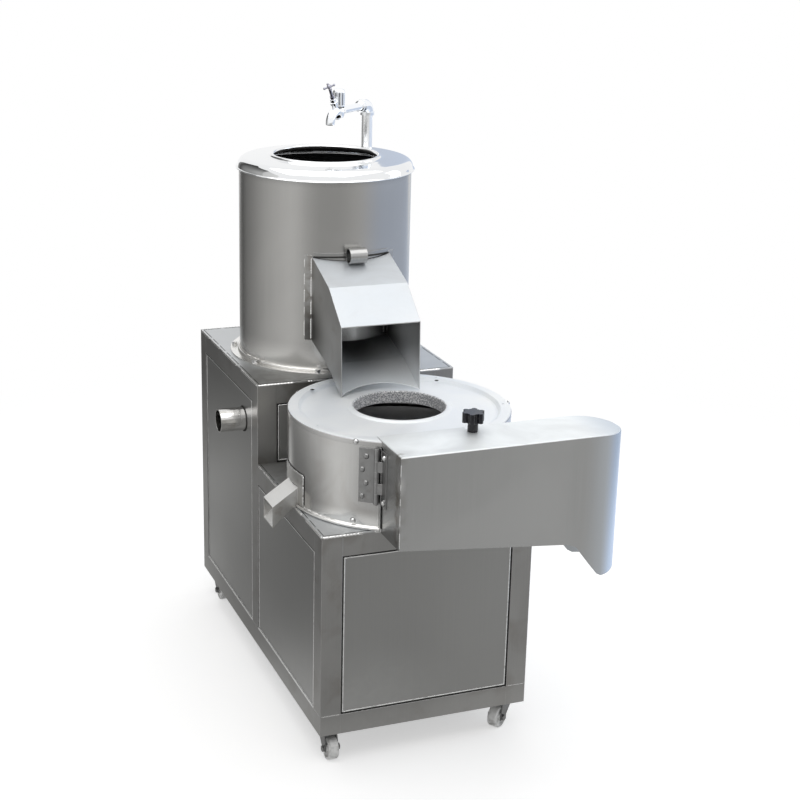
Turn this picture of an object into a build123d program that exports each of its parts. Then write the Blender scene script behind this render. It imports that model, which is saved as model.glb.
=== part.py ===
"""Potato peeling and slicing machine: a stepped steel cabinet on casters with an
abrasive peeling drum on the high deck and a disc slicer on the low deck.

Millimetres, +Z up, +X to the operator's right, +Y to the rear. The model is drawn
with X = 0 on the cabinet's middle plane, Y = 0 on its front face and Z = 0 on the
floor. The last section moves it so that the origin is the centre of its footprint."""

from build123d import *

import os
from math import asin, cos, degrees, hypot, radians, sin, sqrt

# ---------------------------------------------------------------- driving sizes
# Clearances
run_gap = 0.05  # shaft in its bearing, radial
free_gap = 0.5  # between faces that pass each other
seat_gap = 0.02  # a bearing in its housing, radial

# Cabinet
cab_w = 473.0  # width
cab_len = 931.5  # depth over both sections
step_y = 446.5  # depth of the low front section
base_z = 66.5  # underside of the frame above the floor
low_z = 518.0  # top of the low deck
high_z = 705.0  # top of the high deck
tube = 45.0  # square frame tube
tube_t = 2.0
deck_t = 2.0
sheet = 1.5  # panels, chute and hood
panel_gap = 3.0  # shadow gap round a panel
panel_fold = 15.0  # depth of a panel's folded edge
panel_inset = 1.5  # panel face behind the tube face
ear_w = 40.0  # spacer ear on a panel's fold
rail = 25.0  # inner rails that carry the motor plates
plate_t = 8.0  # motor plate

# Casters
wheel_r = 25.0
wheel_w = 22.0
hub_r = 8.0
fork_t = 2.5
caster_inset = 31.0  # swivel axis from the cabinet's faces
caster_trail = 22.0
caster_plate = 58.0
caster_plate_t = 2.5
axle_r = 4.0
king_pin_r = 5.0
caster_turn = {"fl": 0.0, "fr": -55.0, "rl": 0.0, "rr": 35.0}  # resting swivel angles

# Peeling drum
drum_x = 2.0
drum_y = (step_y + cab_len) / 2 - 0.5  # middle of the high deck
drum_r = 200.0
drum_t = 1.5
drum_top = high_z + 436.0
ring_r = drum_r + 4.5
ring_h = 30.0
ring_t = 1.8
feed_r = drum_r - 77.0
flange_r = drum_r + 22.0
flange_t = 3.0
drum_bead_r = 2.8  # rod round the drum's foot
flange_bolts = 8
flange_bolt_r = drum_r + 13.5
liner_t = 14.0
disc_r = drum_r - 22.0
disc_t = 8.0
disc_top = high_z + 71.0
wave_h = 16.0
waves = 3
pan_t = 2.0

# Discharge chute and its gate
chute_w = 184.0
chute_root_z = high_z + 270.0  # top edge of the side plates at the drum
drum_front = drum_y - drum_r
chute_root_y = drum_front + 22.5
fold_y = drum_front - 97.5
fold_z = high_z + 225.0
mouth_y = drum_front - 179.5
mouth_z = high_z + 157.5
lip_y = drum_front - 187.0
lip_z = high_z + 4.0
knee_y = drum_front - 89.5
knee_z = high_z + 48.0
root_floor_z = high_z + 77.0
chute_lug = 13.0  # welding lugs beside the chute
lip_cut_r = 160.0  # round cut in the end of the chute's floor
lip_cut_in = 29.0  # its deepest point behind the lip
gate_t = 2.0
gate_lift = 0.6  # shut gate above the chute's floor
gate_handle_r = 18.0
gate_handle_w = 40.0
gate_handle_t = 2.5
port_bottom = high_z + 81.0
port_top = high_z + 245.0

# Water riser and tap
riser_r = 13.45
riser_bore = 10.8
riser_out = drum_r + 21.0  # distance from the drum's axis
riser_angle = 44.0
riser_top = high_z + 555.0  # height of the horizontal arm
riser_foot = high_z + 33.0  # height of the inlet stub
tap_reach = 136.0
tap_angle = 220.0
spout_out = 38.0  # nozzle's axis beyond the bonnet's
nozzle_r = 11.5
stem_tilt = 30.0
stem_reach = 45.0
handle_reach = 12.0
clip_heights = (high_z + 95.0, high_z + 375.0)

# Drain
drain_r = 27.0
drain_t = 2.0
drain_x = drum_x - 112.0
drain_y = drum_y - 124.5
drain_z = high_z - 115.0
drain_bend = 48.0
drain_out = 58.0  # stub beyond the cabinet's side

# Slicer drum and lid
slicer_x = 7.5
slicer_r = 239.0
slicer_y = step_y - slicer_r - 2.0
slicer_t = 2.0
lid_top = lip_z + 1.3  # the chute's lip ends just inside the lid's rim
slicer_wall_top = lid_top - 12.3
lid_r = slicer_r + 0.5
lid_rim_w = 26.0
slicer_feed_r = 98.5
bead_r = 3.5
slicer_neck_h = 22.0  # raised neck round the shaft
outlet_a0 = -122.0
outlet_a1 = -49.0
outlet_low = low_z + 22.0
outlet_top = slicer_wall_top - 66.0
cutter_r = slicer_r - 13.0
cutter_t = 8.0
cutter_top = outlet_top + 2.0
blades = 3
cutter_start = 20.0  # resting angle of the first blade
paddle_h = 62.0

# Rinse spout
spout_w = 64.0
spout_top = low_z + 47.0
spout_reach = slicer_r + 54.5
spout_lip_top = low_z + 6.0
spout_h = 47.0
spout_flange = 20.0
spout_patch_up = 28.0  # patch above the spout's roof

# Discharge hood, its hinge and star knob
hinge_angle = -122.0
hood_left = round(slicer_x + slicer_r * cos(radians(hinge_angle)), 1) + 6.2  # beside the barrel
hood_right = 392.0
hood_front = slicer_y - slicer_r - 76.5
hood_back = hood_front + 138.0
hood_front_corner = 50.0
hood_back_corner = 80.0
hood_low_left = low_z - 2.0
hood_low_mid = low_z - 38.0
hood_mid_x = 264.0
hood_tongue_x = 343.0
hood_tongue_z = low_z - 118.0
hood_bend = 4.0
hinge_stand = 0.9  # barrel clear of the drum's wall
hinge_pin_r = 3.0
hinge_barrel_r = 5.6
hinge_low = low_z + 59.0
hinge_high = slicer_wall_top - 4.0
leaf_w = 34.0
leaf_t = 2.0
stud_x = slicer_x + 77.5
stud_y = hood_front + 105.0
stud_r = 4.0
knob_r = 24.0
knob_hub_r = 11.0
knob_h = 42.0

# Drives
shaft_r = 15.0
bearing_r = 31.0
bearing_w = 16.0
housing_r = 45.0
housing_flange_r = 70.0
housing_flange_t = 10.0
peeler_housing_h = 140.0
slicer_housing_h = 110.0
peeler_pulley_r = 90.0
peeler_motor_pulley_r = 38.0
peeler_pulley_z = high_z - 175.0
peeler_motor_x = drum_x + 106.0
peeler_motor_y = drum_y - 108.5
slicer_pulley_r = 80.0
slicer_motor_pulley_r = 40.0
slicer_pulley_z = low_z - 146.0
slicer_motor_x = slicer_x - 99.5
slicer_motor_y = slicer_y + 129.5
pulley_w = 24.0
belt_w = 9.6
belt_h = 8.0
belt_seat = 0.6  # belt's back below the pulley's rim
belt_side = 0.1  # belt clear of the groove's flanks
motor_r = 66.0
motor_h = 190.0
motor_shaft_r = 9.5
motor_pilot_r = 40.0

# Switch box and cable gland
box_y = drum_y + 11.5
box_z = high_z - 145.0
box_w = 84.0
box_h = 130.0
box_d = 46.0
button_r = 11.0
button_travel = 4.0
button_pitch = 40.0
button_gap = 0.3
gland_x = 150.0
gland_z = 140.0
gland_r = 10.0
gland_out = 18.0

nodes = {}


# ---------------------------------------------------------------- small helpers
def block(x0, x1, y0, y1, z0, z1):
    """A box between two corners."""
    centre = Pos((x0 + x1) / 2, (y0 + y1) / 2, (z0 + z1) / 2)
    return centre * Box(x1 - x0, y1 - y0, z1 - z0)


def rod(r, z0, z1, x=0.0, y=0.0):
    """An upright cylinder."""
    return Pos(x, y, (z0 + z1) / 2) * Cylinder(r, z1 - z0)


def pipe(r_out, r_in, z0, z1, x=0.0, y=0.0):
    """An upright tube."""
    return rod(r_out, z0, z1, x, y) - rod(r_in, z0 - 1, z1 + 1, x, y)


def turned(points, x=0.0, y=0.0, arc=360.0, start=0.0):
    """A (radius, height) outline turned about an upright axis."""
    profile = Plane.XZ * Polygon(*points, align=None)
    return Pos(x, y, 0) * Rot(0, 0, start) * revolve(profile, Axis.Z, revolution_arc=arc)


def wall_arc(r_in, r_out, a0, a1, z0, z1, x=0.0, y=0.0):
    """A piece of a round wall between two bearings in degrees."""
    corners = [(r_in, z0), (r_out, z0), (r_out, z1), (r_in, z1)]
    return turned(corners, x, y, a1 - a0, a0)


def group(*pieces):
    """Separate solids that share one node."""
    return Compound([solid for piece in pieces for solid in piece.solids()])


def side_plate(points, x0, x1):
    """A flat outline in Y and Z, as thick as from x0 to x1."""
    return Pos(x0, 0, 0) * extrude(Plane.YZ * Polygon(*points, align=None), x1 - x0, dir=(1, 0, 0))


def front_plate(points, y0, y1):
    """A flat outline in X and Z, as deep as from y0 to y1."""
    return Pos(0, y0, 0) * extrude(Plane.XZ * Polygon(*points, align=None), y1 - y0, dir=(0, 1, 0))


def round_head():
    """A round-head screw's head, seat at Z = 0."""
    return turned([(0, 0), (5.5, 0), (5.2, 1.6), (3.8, 3.0), (0, 3.8)])


def polar(x, y, r, angle):
    """The point at a distance and a bearing in degrees from another."""
    return x + r * cos(radians(angle)), y + r * sin(radians(angle))


# ---------------------------------------------------------------- cabinet frame
side_x = cab_w / 2
inner_x = side_x - tube
deck_under_low = low_z - deck_t
deck_under_high = high_z - deck_t
mid_back = step_y + tube  # rear face of the middle posts
rear_front = cab_len - tube  # front face of the rear posts


def square_tube(x0, x1, y0, y1, z0, z1):
    """Hollow bar along its longest side, open at both ends."""
    lengths = (x1 - x0, y1 - y0, z1 - z0)
    wall = [tube_t] * 3
    wall[lengths.index(max(lengths))] = -1
    wx, wy, wz = wall
    bore = block(x0 + wx, x1 - wx, y0 + wy, y1 - wy, z0 + wz, z1 - wz)
    return block(x0, x1, y0, y1, z0, z1) - bore


def frame_tubes():
    """Posts, side rails and cross rails."""
    tubes = []
    for side in (-1, 1):
        x0, x1 = sorted((side * side_x, side * inner_x))
        for y0, top in ((0, deck_under_low), (step_y, deck_under_high), (rear_front, deck_under_high)):
            tubes.append(square_tube(x0, x1, y0, y0 + tube, base_z, top))
        for y0, y1, top in ((tube, step_y, deck_under_low), (mid_back, rear_front, deck_under_high)):
            tubes.append(square_tube(x0, x1, y0, y1, base_z, base_z + tube))
            tubes.append(square_tube(x0, x1, y0, y1, top - tube, top))
    for y0, z0 in (
        (0, base_z),
        (0, deck_under_low - tube),
        (step_y, deck_under_low - tube),
        (step_y, deck_under_high - tube),
        (rear_front, base_z),
        (rear_front, deck_under_high - tube),
    ):
        tubes.append(square_tube(-inner_x, inner_x, y0, y0 + tube, z0, z0 + tube))
    return tubes


below_pulley = pulley_w / 2 + 14.0
plate_tops = {"slicer": slicer_pulley_z - below_pulley, "peeler": peeler_pulley_z - below_pulley}


def motor_rails():
    """Two rails under each motor plate."""
    rails = []
    for side in (-1, 1):
        x0, x1 = sorted((side * inner_x, side * (inner_x + rail)))
        for name, y0, y1 in (("slicer", tube, step_y), ("peeler", mid_back, rear_front)):
            top = plate_tops[name] - plate_t
            rails.append(square_tube(x0, x1, y0, y1, top - rail, top))
    return rails


nodes["base_frame"] = group(*frame_tubes(), *motor_rails())


def motor_plate(name, x, y):
    """The plate that a motor hangs from, with a hole for its shaft and pilot."""
    top = plate_tops[name]
    reach = inner_x + rail
    half = motor_r + 18
    plate = block(-reach, reach, y - half, y + half, top - plate_t, top)
    return plate - rod(motor_pilot_r, top - plate_t - 1, top + 1, x, y)


nodes["motor_plates"] = group(
    motor_plate("slicer", slicer_motor_x, slicer_motor_y),
    motor_plate("peeler", peeler_motor_x, peeler_motor_y),
)

# ---------------------------------------------------------------- decks
low_deck = block(-side_x, side_x, 0, step_y, deck_under_low, low_z)
low_deck -= rod(housing_r + 2, low_z - 10, low_z + 10, slicer_x, slicer_y)
nodes["low_deck"] = low_deck

high_deck = block(-side_x, side_x, step_y, cab_len, deck_under_high, high_z)
high_deck -= rod(housing_r + 2, high_z - 10, high_z + 10, drum_x, drum_y)
high_deck -= rod(drain_r + 1, high_z - 10, high_z + 10, drain_x, drain_y)
nodes["high_deck"] = high_deck


# ---------------------------------------------------------------- panels
def tray(width, height):
    """A folded sheet panel in XZ with its face towards -Y at Y = 0."""
    w = width - 2 * panel_gap
    h = height - 2 * panel_gap
    skin = block(-w / 2, w / 2, 0, panel_fold, -h / 2, h / 2)
    w_in, h_in = w - 2 * sheet, h - 2 * sheet
    hollow = block(-w_in / 2, w_in / 2, sheet, panel_fold + 1, -h_in / 2, h_in / 2)
    body = fillet((skin - hollow).edges().filter_by(Axis.Y).group_by(SortBy.DISTANCE)[-1], 1.2)
    ear = (panel_fold - sheet * 4, panel_fold)
    for side in (-1, 1):
        x0, x1 = sorted((side * w / 2, side * width / 2))
        body += block(x0, x1, *ear, -ear_w / 2, ear_w / 2)
        z0, z1 = sorted((side * h / 2, side * height / 2))
        body += block(-ear_w / 2, ear_w / 2, *ear, z0, z1)
    return body


low_panel_z = (base_z + tube, deck_under_low - tube)
high_panel_z = (base_z + tube, deck_under_high - tube)
low_h = low_panel_z[1] - low_panel_z[0]
high_h = high_panel_z[1] - high_panel_z[0]
low_mid_z = sum(low_panel_z) / 2
high_mid_z = sum(high_panel_z) / 2

nodes["front_panel"] = Pos(0, panel_inset, low_mid_z) * tray(2 * inner_x, low_h)
rear_at = Pos(0, cab_len - panel_inset, high_mid_z) * Rot(0, 0, 180)
nodes["rear_panel"] = rear_at * tray(2 * inner_x, high_h)
step_z = (low_z, deck_under_high - tube)
step_at = Pos(0, step_y + panel_inset, sum(step_z) / 2)
nodes["step_panel"] = step_at * tray(2 * inner_x, step_z[1] - step_z[0])


def side_panels(side):
    """The low and the high panel of one side."""
    turn = Rot(0, 0, 90 * side)
    face_x = side * (side_x - panel_inset)
    front_at = Pos(face_x, (tube + step_y) / 2, low_mid_z)
    rear_at = Pos(face_x, (mid_back + rear_front) / 2, high_mid_z)
    return front_at * turn * tray(step_y - tube, low_h), rear_at * turn * tray(rear_front - mid_back, high_h)


left_front, left_rear = side_panels(-1)
drain_hole = Pos(-side_x, drain_y, drain_z) * Rot(0, 90, 0) * Cylinder(drain_r + 1.5, 60)
nodes["side_panels"] = group(left_front, left_rear - drain_hole, *side_panels(1))

# ---------------------------------------------------------------- casters
plate_bottom = base_z - caster_plate_t
race_h = 6.0
fork_top = plate_bottom - race_h
caster_at = {
    "fl": (-side_x + caster_inset, caster_inset + 12),
    "fr": (side_x - caster_inset, caster_inset + 12),
    "rl": (-side_x + caster_inset, cab_len - caster_inset - 14),
    "rr": (side_x - caster_inset, cab_len - caster_inset - 14),
}


def caster_top():
    """Square mounting plate with the fixed half of the ball race and its king pin."""
    half = caster_plate / 2
    plate = block(-half, half, -half, half, plate_bottom, base_z)
    plate = fillet(plate.edges().filter_by(Axis.Z), 6)
    hole = rod(3.5, plate_bottom - 1, base_z + 1)
    for sx in (-1, 1):
        for sy in (-1, 1):
            plate -= Pos(sx * (half - 8), sy * (half - 8), 0) * hole
    race_low = plate_bottom - 2.5
    race = turned([(0, plate_bottom), (19, plate_bottom), (17, race_low), (0, race_low)])
    pin = rod(king_pin_r, fork_top - 6, plate_bottom - 2)
    return plate + race + pin


def caster_fork():
    """Swivel fork, trailing towards -Y, with its ball cup and axle bolt."""
    outer = wheel_w / 2 + 1.5 + fork_t
    inner = wheel_w / 2 + 1.5
    pin_hole = king_pin_r + run_gap
    cup = turned(
        [
            (pin_hole, fork_top - 4),
            (18, fork_top - 4),
            (21, fork_top - 1),
            (21, fork_top + 3),
            (pin_hole, fork_top + 3),
        ]
    )
    arch = block(-outer, outer, -caster_trail, 12, fork_top - 4, fork_top - 4 + fork_t)
    arch -= rod(pin_hole, 0, fork_top + 5)
    fork = cup + arch
    for side in (-1, 1):
        cheek = (
            (12, fork_top - 4 + fork_t),
            (12, fork_top - 10),
            (-caster_trail + 8, wheel_r - 6),
            (-caster_trail - 8, wheel_r - 6),
            (-caster_trail - 9, wheel_r + 4),
            (-caster_trail, fork_top - 4 + fork_t),
        )
        fork += side_plate(cheek, *sorted((side * inner, side * outer)))
    axle_at = Pos(0, -caster_trail, wheel_r) * Rot(0, 90, 0)
    fork -= axle_at * Cylinder(axle_r, 2 * outer + 4)
    bolt = axle_at * Cylinder(axle_r, 2 * outer + 7)
    for side in (-1, 1):
        hexagon = extrude(RegularPolygon(7.5, 6), 4.5)
        bolt += axle_at * Pos(0, 0, outer if side > 0 else -outer - 4.5) * hexagon
    return group(fork, bolt)


def caster_wheel():
    half = wheel_w / 2
    outline = [
        (axle_r + run_gap, -half - 1.2),
        (hub_r, -half - 1.2),
        (hub_r + 1, -half + 3),
        (wheel_r - 7, -half + 3),
        (wheel_r - 5, -half),
        (wheel_r - 1.5, -half),
        (wheel_r, -half + 2),
        (wheel_r, half - 2),
        (wheel_r - 1.5, half),
        (wheel_r - 5, half),
        (wheel_r - 7, half - 3),
        (hub_r + 1, half - 3),
        (hub_r, half + 1.2),
        (axle_r + run_gap, half + 1.2),
    ]
    return Pos(0, -caster_trail, wheel_r) * Rot(0, 90, 0) * turned(outline)


caster_tops = []
for corner, (cx, cy) in caster_at.items():
    stand = Pos(cx, cy, 0) * Rot(0, 0, caster_turn[corner])
    caster_tops.append(Pos(cx, cy, 0) * caster_top())
    nodes[f"caster_fork_{corner}"] = stand * caster_fork()
    nodes[f"caster_wheel_{corner}"] = stand * caster_wheel()
nodes["caster_plates"] = group(*caster_tops)

# ---------------------------------------------------------------- peeling drum
port_half = chute_w / 2 - 6
port = block(drum_x - port_half, drum_x + port_half, drum_front - 20, drum_front + 90, port_bottom, port_top)
drum = pipe(drum_r, drum_r - drum_t, high_z, drum_top, drum_x, drum_y) - port
drum += pipe(flange_r, drum_r - drum_t, high_z, high_z + flange_t, drum_x, drum_y)
bead_in = drum_bead_r - 0.3  # the rod sinks 0.3 into the wall and the flange
drum += Pos(drum_x, drum_y, high_z + flange_t + bead_in) * Torus(drum_r + bead_in, drum_bead_r)
nodes["peeler_drum"] = drum

ring_top = drum_top + ring_h
shoulder = (ring_r - 9, drum_top + ring_h * 0.55)
ring_skin = [
    (drum_r - 8, drum_top),
    (ring_r, drum_top),
    (ring_r, drum_top + 8),
    (ring_r - 2.6, drum_top + 13.5),
    shoulder,
    (feed_r + 8, ring_top - 1),
    (feed_r + 4.6, ring_top),
    (feed_r, ring_top - 1.5),
    (feed_r, ring_top - 5),
    (feed_r + 3, ring_top - 5),
    (shoulder[0] - 1, shoulder[1] - ring_t - 0.4),
    (ring_r - 4.4, drum_top + 12.6),
    (ring_r - ring_t, drum_top + 8),
    (ring_r - ring_t, drum_top + ring_t),
    (drum_r - 8, drum_top + ring_t),
]
nodes["drum_ring"] = turned(ring_skin, drum_x, drum_y)


def hex_bolt(across, head, washer):
    """Hex head on a washer, seat at Z = 0."""
    hexagon = RegularPolygon(across / 2, 6, major_radius=False)
    return rod(across * 0.6, 0, washer) + Pos(0, 0, washer) * extrude(hexagon, head)


bolts = []
for i in range(flange_bolts):
    spot = polar(drum_x, drum_y, flange_bolt_r, 22.5 + i * 360 / flange_bolts)
    bolts.append(Pos(*spot, high_z + flange_t) * hex_bolt(11.0, 5.5, 1.2))
nodes["flange_bolts"] = group(*bolts)

liner_r = drum_r - drum_t - free_gap
liner_bottom = disc_top - disc_t
liner = pipe(liner_r, liner_r - liner_t, liner_bottom, drum_top, drum_x, drum_y) - port
nodes["abrasive_liner"] = liner

# Pan: floor of the drum below the disc, with a raised neck round the shaft
neck_top = disc_top - disc_t - 14
neck_r = shaft_r + 8
pan_r = drum_r - drum_t - free_gap / 2
pan = pipe(pan_r, neck_r - 3, high_z, high_z + pan_t, drum_x, drum_y)
pan += pipe(neck_r, neck_r - 3, high_z, neck_top, drum_x, drum_y)
pan += pipe(pan_r, pan_r - 4, high_z, liner_bottom, drum_x, drum_y)
pan -= rod(drain_r, high_z - 1, high_z + pan_t + 1, drain_x, drain_y)
nodes["drum_pan"] = pan

# Drain: down from the pan, one bend, out through the left side
drain_end = -side_x - drain_out
bend_x = drain_x - drain_bend
bend_z = drain_z + drain_bend
drain_ring = Circle(drain_r) - Circle(drain_r - drain_t)
drain = pipe(drain_r, drain_r - drain_t, bend_z, high_z + pan_t, drain_x, drain_y)
bend_axis = Axis((bend_x, drain_y, bend_z), (0, 1, 0))
drain += revolve(Plane((drain_x, drain_y, bend_z)) * drain_ring, bend_axis, 90)
drain += extrude(Plane((bend_x, drain_y, drain_z), z_dir=(-1, 0, 0)) * drain_ring, bend_x - drain_end)
nodes["drain_pipe"] = drain

# ---------------------------------------------------------------- abrasive disc and its shaft
disc_under = disc_top - disc_t
disc = rod(disc_r, disc_under, disc_top, drum_x, drum_y)
for i in range(waves):
    angle = 30 + i * 360 / waves
    hump = Polygon((-55, 0), (-30, wave_h * 0.8), (0, wave_h), (30, wave_h * 0.8), (55, 0), align=None)
    ridge_at = Pos(drum_x, drum_y, disc_top - 0.5) * Rot(0, 0, angle) * Pos(38, 0, 0)
    disc += ridge_at * extrude(Plane.YZ * hump, disc_r - 44)
disc_hub = rod(30, disc_under - 10, disc_under, drum_x, drum_y)
cap_side = [(0, disc_top), (24, disc_top), (20, disc_top + 9), (0, disc_top + 13)]
disc_cap = turned(cap_side, drum_x, drum_y)
disc = disc + disc_hub - rod(shaft_r, disc_under - 20, disc_top - 1, drum_x, drum_y)
nodes["abrasive_disc"] = disc + disc_cap

peeler_shaft_low = peeler_pulley_z - pulley_w / 2 - 6
nodes["peeler_shaft"] = rod(shaft_r, peeler_shaft_low, disc_top - 1, drum_x, drum_y)


def bearing_housing(x, y, deck_under, height):
    """Flanged cast housing that hangs below a deck, bored for a bearing at each end."""
    low = deck_under - height
    body = turned(
        [
            (shaft_r + 3, deck_under),
            (housing_flange_r, deck_under),
            (housing_flange_r, deck_under - housing_flange_t),
            (housing_r + 4, deck_under - housing_flange_t),
            (housing_r, deck_under - housing_flange_t - 8),
            (housing_r, low),
            (shaft_r + 3, low),
        ],
        x,
        y,
    )
    for z0 in (deck_under - bearing_w - 4, low + 4):
        body -= rod(bearing_r + seat_gap, z0, z0 + bearing_w, x, y)
    ends = (deck_under - 4, deck_under + 1), (low - 1, low + 4)
    for z0, z1 in ends:
        body -= rod(bearing_r - 3, z0, z1, x, y)
    for i in range(4):
        bx, by = polar(x, y, housing_flange_r - 11, 45 + 90 * i)
        body -= rod(4.5, deck_under - 30, deck_under + 1, bx, by)
    return body


def ball_bearing(x, y, z0):
    """Deep-groove bearing: two rings and a shield between them, as one turned piece."""
    low, high = z0, z0 + bearing_w
    bore = shaft_r + run_gap
    outline = [
        (bore, low),
        (bore + 4, low),
        (bore + 4.5, low + 1),
        (bearing_r - 4.5, low + 1),
        (bearing_r - 4, low),
        (bearing_r, low),
        (bearing_r, high),
        (bearing_r - 4, high),
        (bearing_r - 4.5, high - 1),
        (bore + 4.5, high - 1),
        (bore + 4, high),
        (bore, high),
    ]
    return turned(outline, x, y)


nodes["peeler_bearing_housing"] = bearing_housing(drum_x, drum_y, deck_under_high, peeler_housing_h)
nodes["slicer_bearing_housing"] = bearing_housing(slicer_x, slicer_y, deck_under_low, slicer_housing_h)
bearings = []
for x, y, top, height in (
    (drum_x, drum_y, deck_under_high, peeler_housing_h),
    (slicer_x, slicer_y, deck_under_low, slicer_housing_h),
):
    bearings.append(ball_bearing(x, y, top - bearing_w - 4))
    bearings.append(ball_bearing(x, y, top - height + 4))
nodes["shaft_bearings"] = group(*bearings)


# ---------------------------------------------------------------- belt drives
def pulley(r, bore, x, y, z):
    """Single-groove V pulley with a hub, turned from the solid."""
    half = pulley_w / 2
    groove = belt_seat + belt_h + 2.0
    wide = belt_w / 2 + 2.0
    narrow = belt_w / 2 + belt_side
    outline = [
        (bore, -half),
        (r, -half),
        (r, -wide),
        (r - groove, -narrow),
        (r - groove, narrow),
        (r, wide),
        (r, half),
        (bore, half),
    ]
    return Pos(0, 0, z) * turned(outline, x, y)


def belt(driven, driver, z):
    """V-belt round two pulleys, each given as its radius and centre."""
    loops = []
    for depth in (belt_seat, belt_seat + belt_h):
        with BuildSketch() as loop:
            for r, x, y in (driven, driver):
                with Locations((x, y)):
                    Circle(r - depth)
            make_hull()
        loops.append(loop.sketch)
    return Pos(0, 0, z - belt_w / 2) * extrude(loops[0] - loops[1], belt_w)


nodes["peeler_pulley"] = pulley(peeler_pulley_r, shaft_r, drum_x, drum_y, peeler_pulley_z)
nodes["slicer_pulley"] = pulley(slicer_pulley_r, shaft_r, slicer_x, slicer_y, slicer_pulley_z)
nodes["drive_belts"] = group(
    belt(
        (peeler_pulley_r, drum_x, drum_y),
        (peeler_motor_pulley_r, peeler_motor_x, peeler_motor_y),
        peeler_pulley_z,
    ),
    belt(
        (slicer_pulley_r, slicer_x, slicer_y),
        (slicer_motor_pulley_r, slicer_motor_x, slicer_motor_y),
        slicer_pulley_z,
    ),
)


def motor(x, y, top):
    """Vertical flange motor below its plate: finned body, end shield and fan cowl."""
    low = top - motor_h
    body = turned(
        [
            (motor_shaft_r + 4, top),
            (motor_r + 14, top),
            (motor_r + 14, top - 10),
            (motor_r, top - 14),
            (motor_r - 6, top - 26),
            (motor_r - 6, low + 48),
            (motor_r, low + 44),
            (motor_r, low + 6),
            (motor_r - 8, low),
            (0, low),
            (0, top - 20),
            (motor_shaft_r + 4, top - 20),
        ],
    )
    fin = block(motor_r - 7, motor_r, -1.5, 1.5, low + 50, top - 28)
    for i in range(16):
        body += Rot(0, 0, i * 22.5 + 11.25) * fin
    terminal = block(motor_r - 8, motor_r + 22, -26, 26, top - 110, top - 50)
    body += Rot(0, 0, 90) * fillet(terminal.edges().filter_by(Axis.X), 4)
    return Pos(x, y, 0) * body


for name, x, y, pulley_r, z in (
    ("peeler", peeler_motor_x, peeler_motor_y, peeler_motor_pulley_r, peeler_pulley_z),
    ("slicer", slicer_motor_x, slicer_motor_y, slicer_motor_pulley_r, slicer_pulley_z),
):
    plate_low = plate_tops[name] - plate_t
    nodes[f"{name}_motor"] = motor(x, y, plate_low)
    spindle = rod(motor_shaft_r, plate_low - 18, z + pulley_w / 2 + 3, x, y)
    nodes[f"{name}_motor_pulley"] = group(pulley(pulley_r, motor_shaft_r, x, y, z), spindle)

# ---------------------------------------------------------------- discharge chute
half_w = chute_w / 2
slope_top = (chute_root_z - fold_z) / (chute_root_y - fold_y)


def inward(a, b, amount):
    """The straight line a-b moved to its right by amount, as two points."""
    length = hypot(b[0] - a[0], b[1] - a[1])
    nx, ny = (b[1] - a[1]) / length, -(b[0] - a[0]) / length
    return (a[0] + nx * amount, a[1] + ny * amount), (b[0] + nx * amount, b[1] + ny * amount)


def meet(line_a, line_b):
    """Where two straight lines cross."""
    (x1, y1), (x2, y2) = line_a
    (x3, y3), (x4, y4) = line_b
    d = (x1 - x2) * (y3 - y4) - (y1 - y2) * (x3 - x4)
    a = x1 * y2 - y1 * x2
    b = x3 * y4 - y3 * x4
    return (a * (x3 - x4) - (x1 - x2) * b) / d, (a * (y3 - y4) - (y1 - y2) * b) / d


extended_top = (chute_root_y + 40, chute_root_z + 40 * slope_top)
floor_slope = (root_floor_z - knee_z) / (chute_root_y - knee_y)
extended_floor = (chute_root_y + 40, root_floor_z + 40 * floor_slope)
roof_a = inward(extended_top, (fold_y, fold_z), -sheet)
roof_b = inward((fold_y, fold_z), (mouth_y, mouth_z), -sheet)
floor_a = inward((lip_y, lip_z), (knee_y, knee_z), -sheet)
floor_b = inward((knee_y, knee_z), extended_floor, -sheet)
beyond = 60.0
channel = [
    roof_a[0],
    meet(roof_a, roof_b),
    (roof_b[1][0] - beyond, roof_b[1][1] - beyond * (fold_z - mouth_z) / (fold_y - mouth_y)),
    (floor_a[0][0] - beyond, floor_a[0][1] - beyond * (knee_z - lip_z) / (knee_y - lip_y)),
    meet(floor_a, floor_b),
    floor_b[1],
]
shell_side = [
    extended_top,
    (fold_y, fold_z),
    (mouth_y, mouth_z),
    (lip_y, lip_z),
    (knee_y, knee_z),
    extended_floor,
]
bore_w = chute_w - 2 * sheet
chute = side_plate(shell_side, drum_x - half_w, drum_x + half_w)
chute -= side_plate(channel, drum_x - bore_w / 2, drum_x + bore_w / 2)
chute -= rod(drum_r, root_floor_z - 60, chute_root_z + 60, drum_x, drum_y)
gate_slot_r = drum_r + free_gap + gate_t + 3.0
gate_slot = rod(gate_slot_r, root_floor_z - 60, chute_root_z + 60, drum_x, drum_y)
bore_x = (drum_x - bore_w / 2, drum_x + bore_w / 2)
gate_slot &= block(*bore_x, mouth_y, drum_y, port_bottom, chute_root_z + 60)
chute -= gate_slot
lip_cut = rod(lip_cut_r, lip_z - 20, knee_z, drum_x, lip_y + lip_cut_in - lip_cut_r)
lip_cut &= block(*bore_x, lip_y - 100, knee_y, lip_z - 20, knee_z)
chute -= lip_cut
lug_in = degrees(asin((half_w - sheet) / drum_r))
lug_out = degrees(asin((half_w + chute_lug) / drum_r))
for side in (-1, 1):
    a0, a1 = sorted((-90 + side * lug_in, -90 + side * lug_out))
    chute += wall_arc(drum_r, drum_r + sheet, a0, a1, root_floor_z - 2, chute_root_z + 2, drum_x, drum_y)

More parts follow.
